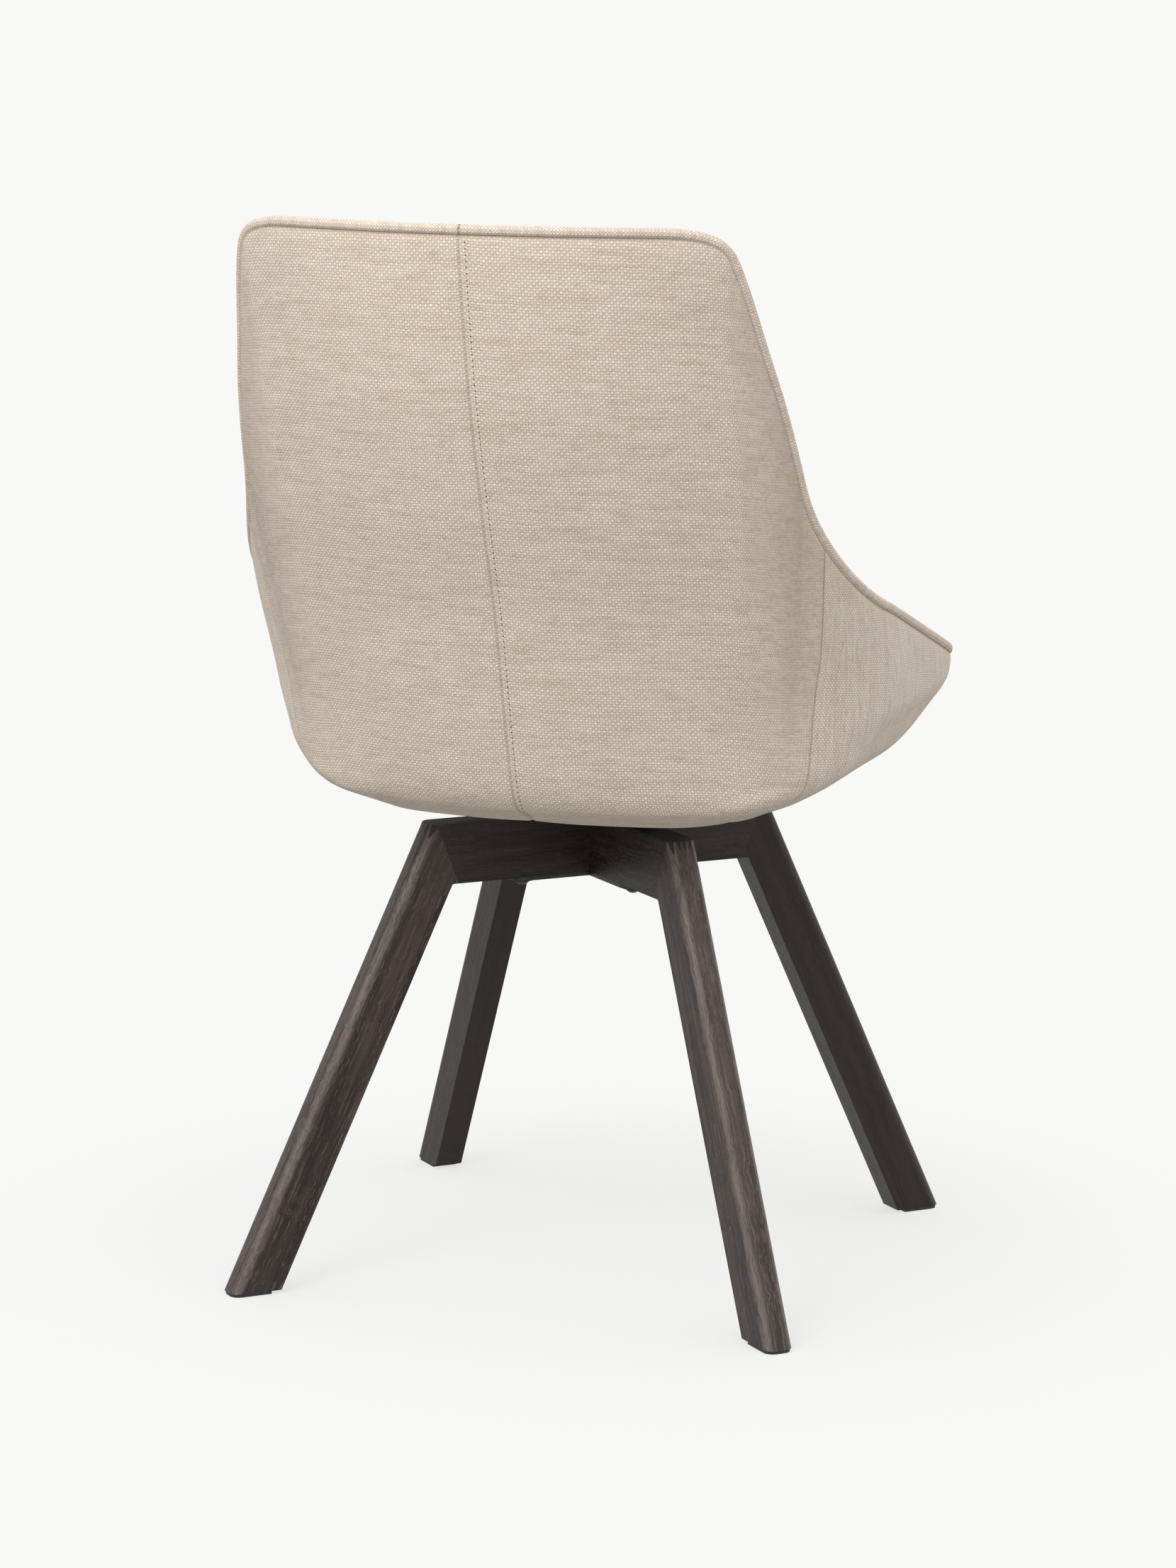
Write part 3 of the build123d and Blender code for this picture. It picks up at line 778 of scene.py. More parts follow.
    def bump(self, height: Socket, distance: float, strength: float = 1.0) -> None:
        """Bumps the shader's surface.

        Args:
            height: the height's socket.
            distance: how many metres a height of 1 stands for.
            strength: how strongly the bump shows.
        """
        node = self.add("ShaderNodeBump")
        node.inputs["Distance"].default_value = distance
        node.inputs["Strength"].default_value = strength
        self.link(height, node.inputs["Height"])
        self.link(node.outputs[0], self.shader.inputs["Normal"])

    def gloss(self, specular: float, sheen: float = 0.0, sheen_rough: float = 0.5) -> None:
        """Sets the shader's specular level and sheen."""
        for name, value in (("Specular IOR Level", specular), ("Sheen Weight", sheen),
                            ("Sheen Roughness", sheen_rough)):
            self.shader.inputs[name].default_value = value


@dataclass(frozen=True)
class Streaks:
    """Stretched noise: each coordinate is multiplied by its own factor first."""

    factors: tuple[float, ...]
    scale: float = 1.0
    detail: float = 2.0
    rough: float = 0.5
    layer: float = 0.0

    def noise(self, n: Nodes, *values: Socket) -> Socket:
        """Value of the noise at a place.

        Args:
            n: the material's nodes.
            values: two or three coordinates. The layer stands in for the third.

        Returns:
            The noise, about 0 to 1.
        """
        place = [n.times(value, factor) for value, factor in zip(values, self.factors)]
        place += [self.layer] * (3 - len(place))
        return n.noise(n.combine(*place), self.scale, self.detail, self.rough)


@dataclass(frozen=True)
class Fabric:
    """Basket-weave cloth of thick and thin yarns, with slubs and warm and cool patches.

    Each kind of unevenness is a noise over the cloth, a band of the noise in which it sets in, and
    the strength with which it shows.
    """

    name: str
    yarn: Colour = (0.800, 0.712, 0.600)
    warm: Colour = (0.670, 0.548, 0.437)
    # darker tone: painted shade in the gaps, on sunken crossings and at the seams, and the colour of darker yarns
    gap: Colour = (0.270, 0.198, 0.140)
    slub: Colour = (0.900, 0.830, 0.730)
    pitch: float = 0.0022
    turn: float = 0.0
    relief: float = 0.00045
    slubs: float = 0.55
    wander: Band = (0.55, 0.80)                       # across and along, in pitches
    wander_scale: Band = (180.0, 95.0)
    raised_band: Band = (-0.25, 0.75)
    slub_streaks: Streaks = Streaks((62.0, 1.7))
    slub_band: Band = (0.54, 0.68)
    crown_band: Band = (0.05, 0.50)
    thin_streaks: Streaks = Streaks((70.0, 2.3), layer=7.0)
    thin_band: Band = (0.50, 0.70)
    thin_share: float = 0.17
    patches: Streaks = Streaks((30.0, 85.0), detail=3.0)
    patch_band: Band = (0.36, 0.64)
    patch_share: float = 0.42
    long_streaks: Streaks = Streaks((20.0, 5.3), detail=3.0, layer=3.0)
    light_band: Band = (0.48, 0.66)
    light_share: float = 0.42
    dark_band: Band = (0.50, 0.32)
    dark_share: float = 0.14
    fine_scale: float = 260.0
    fine_band: Band = (0.3, 0.7)
    fine_share: float = 0.20
    lot_share: float = 0.50                           # from yarn crossing to yarn crossing
    crown_share: float = 0.30
    shade_band: Band = (0.05, 0.72)
    shade_share: float = 0.38
    hole_shade_width: float = 0.16
    hole_shade_share: float = 0.36
    seam_shadow_share: float = 0.80
    fibre_scale: float = 3200.0
    fibre_relief: float = 0.25
    slub_relief: float = 0.35
    rough: Band = (0.88, 0.96)
    specular: float = 0.22
    sheen: float = 0.12
    sheen_rough: float = 0.6

    def make(self) -> Material:
        """Builds the material.

        The height of the yarns is the product of two cosines over the cloth, one pitch apart, so
        that raised and sunken crossings alternate. Where the product is near nothing lies a gap.
        Sunken crossings and gaps get painted shade.

        Returns:
            The material.
        """
        n = Nodes(self.name)
        stored = n.add("ShaderNodeAttribute", attribute_name=WEAVE).outputs["Vector"]
        # the third value is the painted shadow along the seams and the rim
        first, second, seam_shadow = n.split(stored)
        cloth = n.combine(first, second)
        u, v, _ = n.split(n.mapped(cloth, (0.0, 0.0, self.turn)))
        u = n.plus(u, n.wander(cloth, self.wander_scale[0], self.pitch * self.wander[0]))
        v = n.plus(v, n.wander(cloth, self.wander_scale[1], self.pitch * self.wander[1]))
        wave = np.pi / self.pitch
        product = n.times(n.math("COSINE", n.times(u, wave)), n.math("COSINE", n.times(v, wave)))
        crown = n.math("ABSOLUTE", product)
        row = n.math("ROUND", n.math("DIVIDE", v, self.pitch))
        lot = n.add("ShaderNodeTexWhiteNoise", noise_dimensions="2D")
        n.link(n.combine(n.math("ROUND", n.math("DIVIDE", u, self.pitch)), row), lot.inputs["Vector"])
        slub = n.times(n.steps(self.slub_streaks.noise(n, u, row), *self.slub_band), n.steps(crown, *self.crown_band))
        thin = n.steps(self.thin_streaks.noise(n, u, row), *self.thin_band)
        patch = n.steps(self.patches.noise(n, u, v), *self.patch_band)
        long_run = self.long_streaks.noise(n, u, row)
        fine = n.steps(n.noise(cloth, self.fine_scale), *self.fine_band)
        yarn = n.tinted(self.yarn, (
            (patch, self.patch_share, self.warm),
            (n.steps(long_run, *self.light_band), self.light_share, self.slub),
            (lot.outputs["Value"], self.lot_share, self.warm),
            (fine, self.fine_share, self.slub),
            (slub, self.slubs, self.slub),
        ))
        lift = n.plus(n.times(n.steps(product, *self.raised_band), 1 - self.crown_share),
                      n.times(crown, self.crown_share))
        # painted shade on the sunken crossings and in the gaps between the yarns
        shaded = n.mix(n.steps(lift, *self.shade_band), n.mix(self.shade_share, yarn, self.gap), yarn)
        hole = n.minus(1.0, n.steps(crown, 0.0, self.hole_shade_width))
        colour = n.tinted(shaded, (
            (hole, self.hole_shade_share, self.gap),
            (thin, self.thin_share, self.gap),
            (n.steps(long_run, *self.dark_band), self.dark_share, self.gap),
            (seam_shadow, self.seam_shadow_share, self.gap),
        ))
        n.link(colour, n.shader.inputs["Base Color"])
        height = n.plus(lift, n.times(n.noise(cloth, self.fibre_scale, 1.0), self.fibre_relief))
        n.bump(n.plus(height, n.times(slub, self.slub_relief)), self.relief)
        n.link(n.steps(fine, 0.0, 1.0, *self.rough), n.shader.inputs["Roughness"])
        n.gloss(self.specular, self.sheen, self.sheen_rough)
        return n.material


@dataclass(frozen=True)
class StainedWood:
    """Dark-stained open-pored wood under satin lacquer, with its grain along one piece.

    The grain is noise that is stretched along the piece: broad bands, fine lines and pores. A leg's
    outer edges get a painted highlight, with a little wear, and its outer face gets painted light.
    """

    dark: Colour = (0.0190, 0.0118, 0.0100)
    mid: Colour = (0.0580, 0.0405, 0.0355)
    light: Colour = (0.1250, 0.0990, 0.0880)
    # colour of the painted highlight along a leg's outer edges, with a little wear
    edge: Colour = (0.2300, 0.2000, 0.1820)
    pore: Colour = (0.006, 0.004, 0.004)
    # share of the piece's colour that stays; the rest goes to the dark tone as painted shade
    shade: float = 1.0
    drift: Streaks = Streaks((5.0, 1.0, 1.0), 9.0)
    wander: float = 0.009
    broad: Streaks = Streaks((3.0, 60.0, 60.0), 2.2, 3.0)
    broad_band: Band = (0.34, 0.66)
    lines: Streaks = Streaks((14.0, 520.0, 520.0), 1.3, 3.0, 0.6)
    line_band: Band = (0.50, 0.72)
    line_share: float = 0.75
    pores: Streaks = Streaks((75.0, 1500.0, 1500.0), 1.4, 1.0)
    pore_band: Band = (0.60, 0.72)
    pore_share: float = 0.6
    edge_depth: Band = (-0.010, -0.001)               # from the outer face
    edge_place: Band = (0.0055, 0.0105)               # from the leg's middle
    # bands of the grain's lines that carry the painted highlight on the edges and the painted light on the outer face
    edge_highlight_lines: tuple[float, float, float, float] = (0.30, 0.62, 0.25, 0.85)
    face_light_lines: tuple[float, float, float, float] = (0.42, 0.70, 0.10, 0.45)
    rough_lines: tuple[float, float, float, float] = (0.3, 0.7, 0.34, 0.50)
    line_relief: float = 0.5
    relief: float = 0.00012
    bump_strength: float = 0.8
    specular: float = 0.22

    def make(self, name: str, heading: float, slope: float, shift: float, outer: float | None) -> Material:
        """Builds the material for one piece.

        Args:
            name: the material's name.
            heading: the piece's direction in plan, in degrees.
            slope: how far the grain rises from level, in degrees.
            shift: offset that gives each piece its own stretch of grain.
            outer: distance of a leg's outer face from the axis across the grain, or None for a rail.

        Returns:
            The material.
        """
        n = Nodes(name)
        place = n.mapped(n.add("ShaderNodeTexCoord").outputs["Object"], (0.0, 0.0, -heading))
        along, across, deep = n.split(n.mapped(place, (0.0, -slope, 0.0)))
        shifted = n.plus(across, shift)
        wander = n.centred(self.drift.noise(n, along, shifted, deep), self.wander)
        grain = (along, n.plus(shifted, wander), n.plus(deep, wander))
        broad, lines, pores = (streaks.noise(n, *grain) for streaks in (self.broad, self.lines, self.pores))
        colour = n.mix(n.steps(broad, *self.broad_band), self.dark, self.mid)
        colour = n.mix(n.times(n.steps(lines, *self.line_band), self.line_share), colour, self.light)
        if outer is not None:
            # painted highlight along a leg's rounded outer edges, with a little wear, and painted light over its
            # outer face
            near = n.steps(deep, *(outer + depth for depth in self.edge_depth))
            edge_highlight = n.times(near, n.steps(n.math("ABSOLUTE", across), *self.edge_place))
            colour = n.mix(n.times(edge_highlight, n.steps(lines, *self.edge_highlight_lines)), colour, self.edge)
            colour = n.mix(n.times(near, n.steps(lines, *self.face_light_lines)), colour, self.light)
        pit = n.steps(pores, *self.pore_band)
        colour = n.mix(n.times(pit, self.pore_share), colour, self.pore)
        # painted shade: the colour is mixed towards the dark tone
        n.link(n.mix(1.0 - self.shade, colour, self.dark), n.shader.inputs["Base Color"])
        n.link(n.steps(lines, *self.rough_lines), n.shader.inputs["Roughness"])
        n.bump(n.minus(n.times(lines, self.line_relief), pit), self.relief, self.bump_strength)
        n.gloss(self.specular)
        return n.material


@dataclass(frozen=True)
class Finish:
    """A hard or plain finish with fine unevenness: metal, plastic, moulded shell or lining cloth."""

    name: str
    colour: Colour
    second: Colour
    rough: Band
    metal: float = 0.0
    grain: Colour = (900.0, 900.0, 900.0)             # features per metre along X, Y and Z
    relief: float = 0.00004
    cloud_scale: float = 28.0
    fine_band: Band = (0.30, 0.70)
    cloud_band: Band = (0.35, 0.65)
    rough_band: Band = (0.25, 0.75)
    bump_strength: float = 0.7

    def make(self) -> Material:
        """Builds the material: noise on the piece's own coordinates varies colour, gloss and relief.

        Returns:
            The material.
        """
        n = Nodes(self.name)
        place = n.add("ShaderNodeTexCoord").outputs["Object"]
        fine = n.noise(n.mapped(place, scale=self.grain), 1.0, 3.0)
        cloud = n.noise(place, self.cloud_scale, 3.0)
        share = n.times(n.plus(n.steps(fine, *self.fine_band), n.steps(cloud, *self.cloud_band)), 0.5)
        n.link(n.mix(share, self.colour, self.second), n.shader.inputs["Base Color"])
        n.link(n.steps(fine, *self.rough_band, *self.rough), n.shader.inputs["Roughness"])
        n.shader.inputs["Metallic"].default_value = self.metal
        n.bump(fine, self.relief, self.bump_strength)
        return n.material


def put_on(node: str, material: Material) -> None:
    """Gives a CAD node a finish through its object's material slots.

    Args:
        node: the node's name.
        material: the finish.
    """
    piece = NODES[node]
    if not piece.material_slots:
        piece.data.materials.append(material)
    for slot in piece.material_slots:
        slot.link = "OBJECT"
        slot.material = material


# ------------------------------------------------------------------ upholstery
@dataclass
class Covers:
    """The outer fabric: a back panel and a side panel on each side, sewn at three seams."""

    thickness: float = 0.0022
    edge_drop: float = 0.0078
    rim_roll: float = 0.0016
    rim_roll_width: float = 0.003
    rim_roll_power: float = 1.5
    groove: float = 0.0009
    groove_width: float = 0.0016
    swell: float = 0.0012
    swell_reach: float = 0.05
    ripple: float = 0.0005
    ease: float = 0.0007                              # room over the shell where the bowl bends
    ease_height: float = 0.032
    ease_reach: float = 0.022
    front_line: float = -0.17                         # y from which the front has more ease
    front_reach: float = 0.05
    front_fade: float = 1.6
    # painted shadow in the seam grooves and along the rim by the piping: its strength and widths
    seam_shadow_strength: float = 0.65
    seam_shade: float = 0.0007
    rim_shade: float = 0.0014
    under_share: float = 0.58                         # how far the cloth turns in below
    under_gap: float = 0.0005
    under_rows: int = 8
    columns: int = 150
    rows: int = 190
    crowding: float = 1.7                             # of the grid at its seams and at the rim
    foot_crowding: float = 1.35

    def outer_face(self, panel: Panel) -> tuple[Array, Array]:
        """Grid of a panel's outer face on the left side, with its fabric coordinates.

        The wall's patch goes on below as a flat ring towards the middle of the underside. It swells
        a little between its borders, and sinks at a seam by the groove's depth times the falling
        power of the distance, and in the same way at the rim, where the cloth rolls in to the piping.

        Args:
            panel: the panel.

        Returns:
            The places, rows by columns by 3, and in the same layout the distance along the row, up
            the column, and the painted shadow along the seams and the rim.
        """
        across = crowded(self.columns, self.crowding, self.crowding)
        up = crowded(self.rows, self.foot_crowding, self.crowding)
        face = Wall(0.0).patch(panel, across, up, self.edge_drop)
        outward = grid_normals(face)
        run = arc_lengths(face, 1)
        rise = arc_lengths(face, 0)
        to_seam = np.minimum(run, run[:, -1:] - run)
        to_rim = rise[-1:] - rise
        rolled = self.rim_roll * np.exp(-(to_rim / self.rim_roll_width) ** self.rim_roll_power)
        sink = self.groove * np.exp(-to_seam / self.groove_width) + rolled
        middle = np.clip(to_seam / self.swell_reach, 0, 1) * np.clip(to_rim / self.swell_reach, 0, 1)
        lift = self.swell * np.sin(middle * np.pi / 2) + ripple(face, self.ripple) * middle
        above = face[..., 2] - FORM.underside - self.ease_height
        ease = self.ease * np.exp(-(above / self.ease_reach) ** 2)
        front = np.clip((self.front_line - face[..., 1]) / self.front_reach, 0, 1)
        front = front * np.clip(self.front_fade - above / self.front_reach, 0, 1)
        face = face + outward * (lift - sink + ease + self.ease * front)[..., None]
        # painted shadow in the seam grooves and along the rim by the piping
        dark = np.maximum(self.seam_shadow_strength * np.exp(-to_seam / self.seam_shade), np.exp(-to_rim / self.rim_shade))
        shrink = np.linspace(self.under_share, 1, self.under_rows + 1)[:-1]
        ring = face[:1] * np.stack([shrink, shrink, np.ones_like(shrink)], 1)[:, None, :]
        whole = np.concatenate([ring, face])
        length = np.concatenate([run[:1] * shrink[:, None], run])
        height = arc_lengths(whole, 0)
        dark = np.concatenate([np.repeat(dark[:1], len(shrink), axis=0), dark])
        return whole, np.stack([length, height - height[len(shrink)], dark], -1)

    def build(self, side: Side, panel: Panel, fabric: Material) -> Piece:
        """Builds one panel as a closed thin shell that stands for its CAD solid.

        Args:
            side: the side of the chair.
            panel: the back or the side panel.
            fabric: its cloth.

        Returns:
            The panel.
        """
        outer, weave = self.outer_face(panel)
        inner = outer - grid_normals(outer) * self.thickness
        inner[: self.under_rows, :, 2] = outer[: self.under_rows, :, 2] + self.thickness
        inner[..., 0] = np.maximum(inner[..., 0], 0.0)
        inner[..., 2] = np.maximum(inner[..., 2], FORM.underside + self.under_gap)
        points, quads = closed_shell(outer, inner)
        weave = np.concatenate([weave.reshape(-1, 3)] * 2)
        name = f"{panel.value}_cover_{side.name.lower()}"
        piece = make_mesh(name + "_cloth", mirrored(points, side), quads, weave * np.array([side.value, 1, 1]))
        piece.data.materials.append(fabric)
        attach(piece, "seat")
        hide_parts(name)
        return piece


@dataclass
class Piping:
    """The round piping along the whole rim."""

    radius: float = 0.0039
    inset: float = 0.0036
    samples: int = 2600
    smoothing: int = 9                                # steps to either side
    steps: int = 1100
    sides: int = 20

    def path(self) -> tuple[Array, Array]:
        """Centre line round the rim.

        The wall moved in by the piping's inset is cut at the rim lowered by the same; the left
        half runs from the back to the front and its mirror image back again. A bell-shaped mean
        over the nearest steps rounds its corners.

        Returns:
            Evenly spaced places and the outward direction at each.
        """
        across = np.linspace(0, 1, self.samples)
        wall = Wall(self.inset)
        height = wall.rim(Panel.WHOLE, across, self.inset)
        left = wall.at(across, height)
        loop = np.concatenate([left, mirrored(left[-2:0:-1], Side.RIGHT)])
        closed = np.concatenate([loop, loop[:1]])
        run = np.concatenate([[0], np.cumsum(np.linalg.norm(np.diff(closed, axis=0), axis=1))])
        even = np.linspace(0, run[-1], self.steps, endpoint=False)
        path = np.stack([np.interp(even, run, closed[:, k]) for k in range(3)], 1)
        kernel = np.hanning(2 * self.smoothing + 3)[1:-1]
        padded = np.concatenate([path[-self.smoothing:], path, path[:self.smoothing]])
        path = np.stack([np.convolve(padded[:, k], kernel / kernel.sum(), "valid") for k in range(3)], 1)
        return path, path * np.array([1, 1, 0])

    def build(self, fabric: Material) -> Piece:
        """Builds the piping.

        Args:
            fabric: its cloth, cut on the bias.

        Returns:
            The piping.
        """
        path, out = self.path()
        points, quads, weave = tube(path, self.radius, self.sides, out)
        piece = make_mesh("welt_piping", points, quads, weave)
        piece.data.materials.append(fabric)
        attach(piece, "seat")
        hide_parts("welt")
        return piece


@dataclass
class Lining:
    """The padded inside: a back pad and two side pads with rolled upper edges."""

    inner: float = 0.0376                             # insets from the outer wall
    outer: float = 0.0150
    lip: float = 0.0072
    front_inner: float = 0.0246
    front_outer: float = 0.0150
    roll_drop: float = 0.015                          # drops below the rim
    lip_drop: float = 0.0066
    top_drop: float = 0.0024
    step_in: float = 0.0008
    step_down: float = 0.0007
    hidden_drop: float = 0.0009
    hidden_rows: tuple[float, ...] = (1.0, 0.85, 0.6, 0.3, 0.0)
    foot: float = 0.030
    groove: float = 0.0022
    groove_width: float = 0.004
    ripple: float = 0.0006
    columns: int = 90
    rows: int = 110
    roll_rows: int = 21
    crowding: float = 1.6                             # of the grid at its seams
    top_crowding: float = 1.5

    def profile(self) -> list[tuple[float, float, float, float]]:
        """Rows of a pad.

        They climb the inside, turn over the top along two quarters of ellipses, as far as the piping,
        step back over the shell's edge and go down the hidden side.

        Returns:
            The inset, the front inset, the drop below the rim and the share of the height of each row.
        """
        climb = crowded(self.rows, 1.0, self.top_crowding)[:-1]
        rows = [(self.inner, self.front_inner, self.roll_drop, share) for share in climb]
        middle, reach = (self.inner + self.lip) / 2, (self.inner - self.lip) / 2
        front, front_reach = (self.front_inner + self.lip) / 2, (self.front_inner - self.lip) / 2
        for turn in np.linspace(0, np.pi, self.roll_rows):
            low = self.roll_drop if turn < np.pi / 2 else self.lip_drop
            rows.append((middle + reach * np.cos(turn), front + front_reach * np.cos(turn),
                         low - (low - self.top_drop) * np.sin(turn), 1.0))
        stepped = self.lip + self.step_in
        rows.append((stepped, stepped, self.lip_drop + self.step_down, 1.0))
        drop = self.lip_drop + self.hidden_drop
        return rows + [(self.outer, self.front_outer, drop, share) for share in self.hidden_rows]

    def build(self, panel: Panel, side: Side | None, fabric: Material) -> Piece:
        """Builds one pad.

        Args:
            panel: the back or the side pad.
            side: the side pad's side, or None for the back pad, which spans both.
            fabric: its cloth.

        Returns:
            The pad.
        """
        across = crowded(self.columns, self.crowding, self.crowding)
        walls: dict[tuple[float, float], Wall] = {}
        grid = []
        for inset, front, drop, share in self.profile():
            wall = walls.setdefault((inset, front), Wall(inset, front))
            grid.append(wall.patch(panel, across, np.array([share]), drop, self.foot)[0])
        face = np.array(grid)
        if panel is Panel.BACK:
            face = np.concatenate([mirrored(face[:, :0:-1], Side.RIGHT), face], axis=1)
        run, rise = arc_lengths(face, 1), arc_lengths(face, 0)
        to_seam = np.minimum(run, run[:, -1:] - run)
        sink = self.groove * np.exp(-to_seam / self.groove_width)
        face = face + grid_normals(face) * (sink - ripple(face, self.ripple))[..., None]
        rows, columns = face.shape[:2]
        number = np.arange(rows * columns).reshape(rows, columns)
        caps = []
        for edge in (number[:, 0], number[::-1, -1]):
            half = rows // 2
            near, far = edge[:half], edge[::-1][:half]
            caps.append(np.stack([near[:-1], far[:-1], far[1:], near[1:]], -1))
        quads = np.concatenate([grid_quads(rows, columns, wrap_rows=True), *caps])
        weave = np.stack([run, rise], -1).reshape(-1, 2)
        points = face.reshape(-1, 3)
        place = "" if side is None else "_" + side.name.lower()
        name = f"inner_{panel.value}_pad{place}"
        moved = points if side is None else mirrored(points, side)
        piece = make_mesh(name + "_lining", moved, quads, weave)
        piece.data.materials.append(fabric)
        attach(piece, "seat")
        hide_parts(name)
        return piece


@dataclass
class Cushion:
    """The loose-looking seat cushion: a crowned pad that fills the bowl, with a sewn border seam."""

    side_gap: float = 0.0035
    inset: float = 0.0379
    front_inset: float = 0.0249
    crown: tuple[tuple[float, float], ...] = (        # height above the underside, drawn in
        (0.0170, 0.030), (0.0200, 0.012), (0.030, 0.004), (0.050, 0.001), (0.066, 0.001), (0.076, 0.004),
        (0.0845, 0.013), (0.0905, 0.034), (0.0950, 0.080), (0.0975, 0.130),
    )
    cap_shares: tuple[float, ...] = (0.6, 0.25, 0.02)
    cap_lift: float = 0.0012
    columns: int = 160
    voxel: float = 0.0055
    pressure: float = 4.0
    quality: int = 5
    frames: int = 20
    rise_cap: float = 0.009
    fall_cap: float = 0.001
    side_cap: float = 0.0022
    seam_height: float = 0.0815
    seam_depth: float = 0.0022
    seam_width: float = 0.0030
    seam_power: float = 1.3
    flank: float = 1.2                                # less the upward share of the cloth's direction
    ripple: float = 0.0008
    least_reach: float = 0.02

    def start(self) -> Piece:
        """The unpressed pad: rings drawn in from the lining at given heights, closed by small caps.

        Returns:
            The pad.
        """
        wall = Wall(self.inset, self.front_inset)
        across = np.linspace(0, 1, self.columns)
        rings = []
        for height, drawn in self.crown:
            left = wall.at(across, np.full_like(across, height), drawn + self.side_gap)
            rings.append(np.concatenate([left, mirrored(left[-2:0:-1], Side.RIGHT)]))
        for last, lift in ((0, 0.0), (-1, self.cap_lift)):
            centre = rings[last].mean(0)
            shrunk = [centre + (rings[last] - centre) * share + np.array([0, 0, lift * (1 - share)])
                      for share in self.cap_shares]
            rings = shrunk[::-1] + rings if last == 0 else rings + shrunk
        grid = np.array(rings)
        rows, columns = grid.shape[:2]
        return make_mesh("seat_cushion_pad", grid.reshape(-1, 3), grid_quads(rows, columns, wrap_columns=True))

    def press(self, pad: Piece) -> None:
        """Remeshes the pad evenly and lets cloth pressure fill it.

        Args:
            pad: the pad. Each of its points moves no further than the caps allow.
        """
        select_only(pad)
        remesh = pad.modifiers.new("even", "REMESH")
        remesh.mode = "VOXEL"
        remesh.voxel_size = self.voxel
        remesh.use_smooth_shade = True
        bpy.ops.object.modifier_apply(modifier=remesh.name)
        before = vertex_array(pad.data)
        way = self.pressed(pad) - before
        way -= way.mean(0)
        level = np.linalg.norm(way[:, :2], axis=1, keepdims=True)
        way[:, :2] *= np.minimum(1, self.side_cap / np.maximum(level, 1e-9))
        way[:, 2] = np.clip(way[:, 2], -self.fall_cap, self.rise_cap)
        set_vertices(pad.data, before + way)

    def pressed(self, pad: Piece) -> Array:
        """Runs the cloth simulation without weight or collisions, and takes it off again.

        Args:
            pad: the pad, whose mesh isn't changed.

        Returns:
            Places of its points under pressure.
        """
        cloth = pad.modifiers.new("press", "CLOTH")
        cloth.settings.quality = self.quality
        cloth.settings.use_pressure = True
        cloth.settings.uniform_pressure_force = self.pressure
        cloth.settings.effector_weights.gravity = 0.0
        cloth.collision_settings.use_collision = False
        scene = bpy.context.scene
        for step in range(1, self.frames + 1):
            scene.frame_set(step)
        shaped = pad.evaluated_get(bpy.context.evaluated_depsgraph_get()).to_mesh()
        after = vertex_array(shaped)
        pad.modifiers.remove(cloth)
        scene.frame_set(1)
        return after

    def finish(self, pad: Piece, fabric: Material) -> Piece:
        """Sews the border seam, gives the cloth its coordinates and dresses the pad.

        Args:
            pad: the pressed pad.
            fabric: its cloth.

        Returns:
            The finished pad. Its fabric coordinates are the way from the middle, longer by the drop
            from the top.
        """
        points = vertex_array(pad.data)
        normals = np.zeros(len(points) * 3, np.float32)
        pad.data.vertices.foreach_get("normal", normals)
        normals = normals.reshape(-1, 3)
        seam = FORM.underside + self.seam_height
        depth = self.seam_depth * np.exp(-(np.abs(points[:, 2] - seam) / self.seam_width) ** self.seam_power)
        flank = np.clip(self.flank - np.abs(normals[:, 2]), 0, 1)
        points = points - normals * (depth * flank)[:, None]
        points += normals * ripple(points, self.ripple)[:, None]
        set_vertices(pad.data, points)
        level = points[:, :2] - points.mean(0)[:2]
        reach = np.linalg.norm(level, axis=1, keepdims=True)
        drop = (points[:, 2].max() - points[:, 2])[:, None]
        set_weave(pad.data, level * (1 + drop / np.maximum(reach, self.least_reach)))
        pad.data.materials.clear()
        pad.data.materials.append(fabric)
        smooth = pad.modifiers.new("soften", "SUBSURF")
        smooth.levels = smooth.render_levels = 1
        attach(pad, "seat")
        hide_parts("seat_cushion")
        return pad

    def build(self, fabric: Material) -> Piece:
        """Builds the cushion.

        Args:
            fabric: its cloth.

        Returns:
            The cushion.
        """
        pad = self.start()
        self.press(pad)
        return self.finish(pad, fabric)


def select_only(piece: Piece) -> None:
    """Makes a piece the only selected and the active one.

    Args:
        piece: the piece.
    """
    bpy.ops.object.select_all(action="DESELECT")
    piece.select_set(True)
    bpy.context.view_layer.objects.active = piece


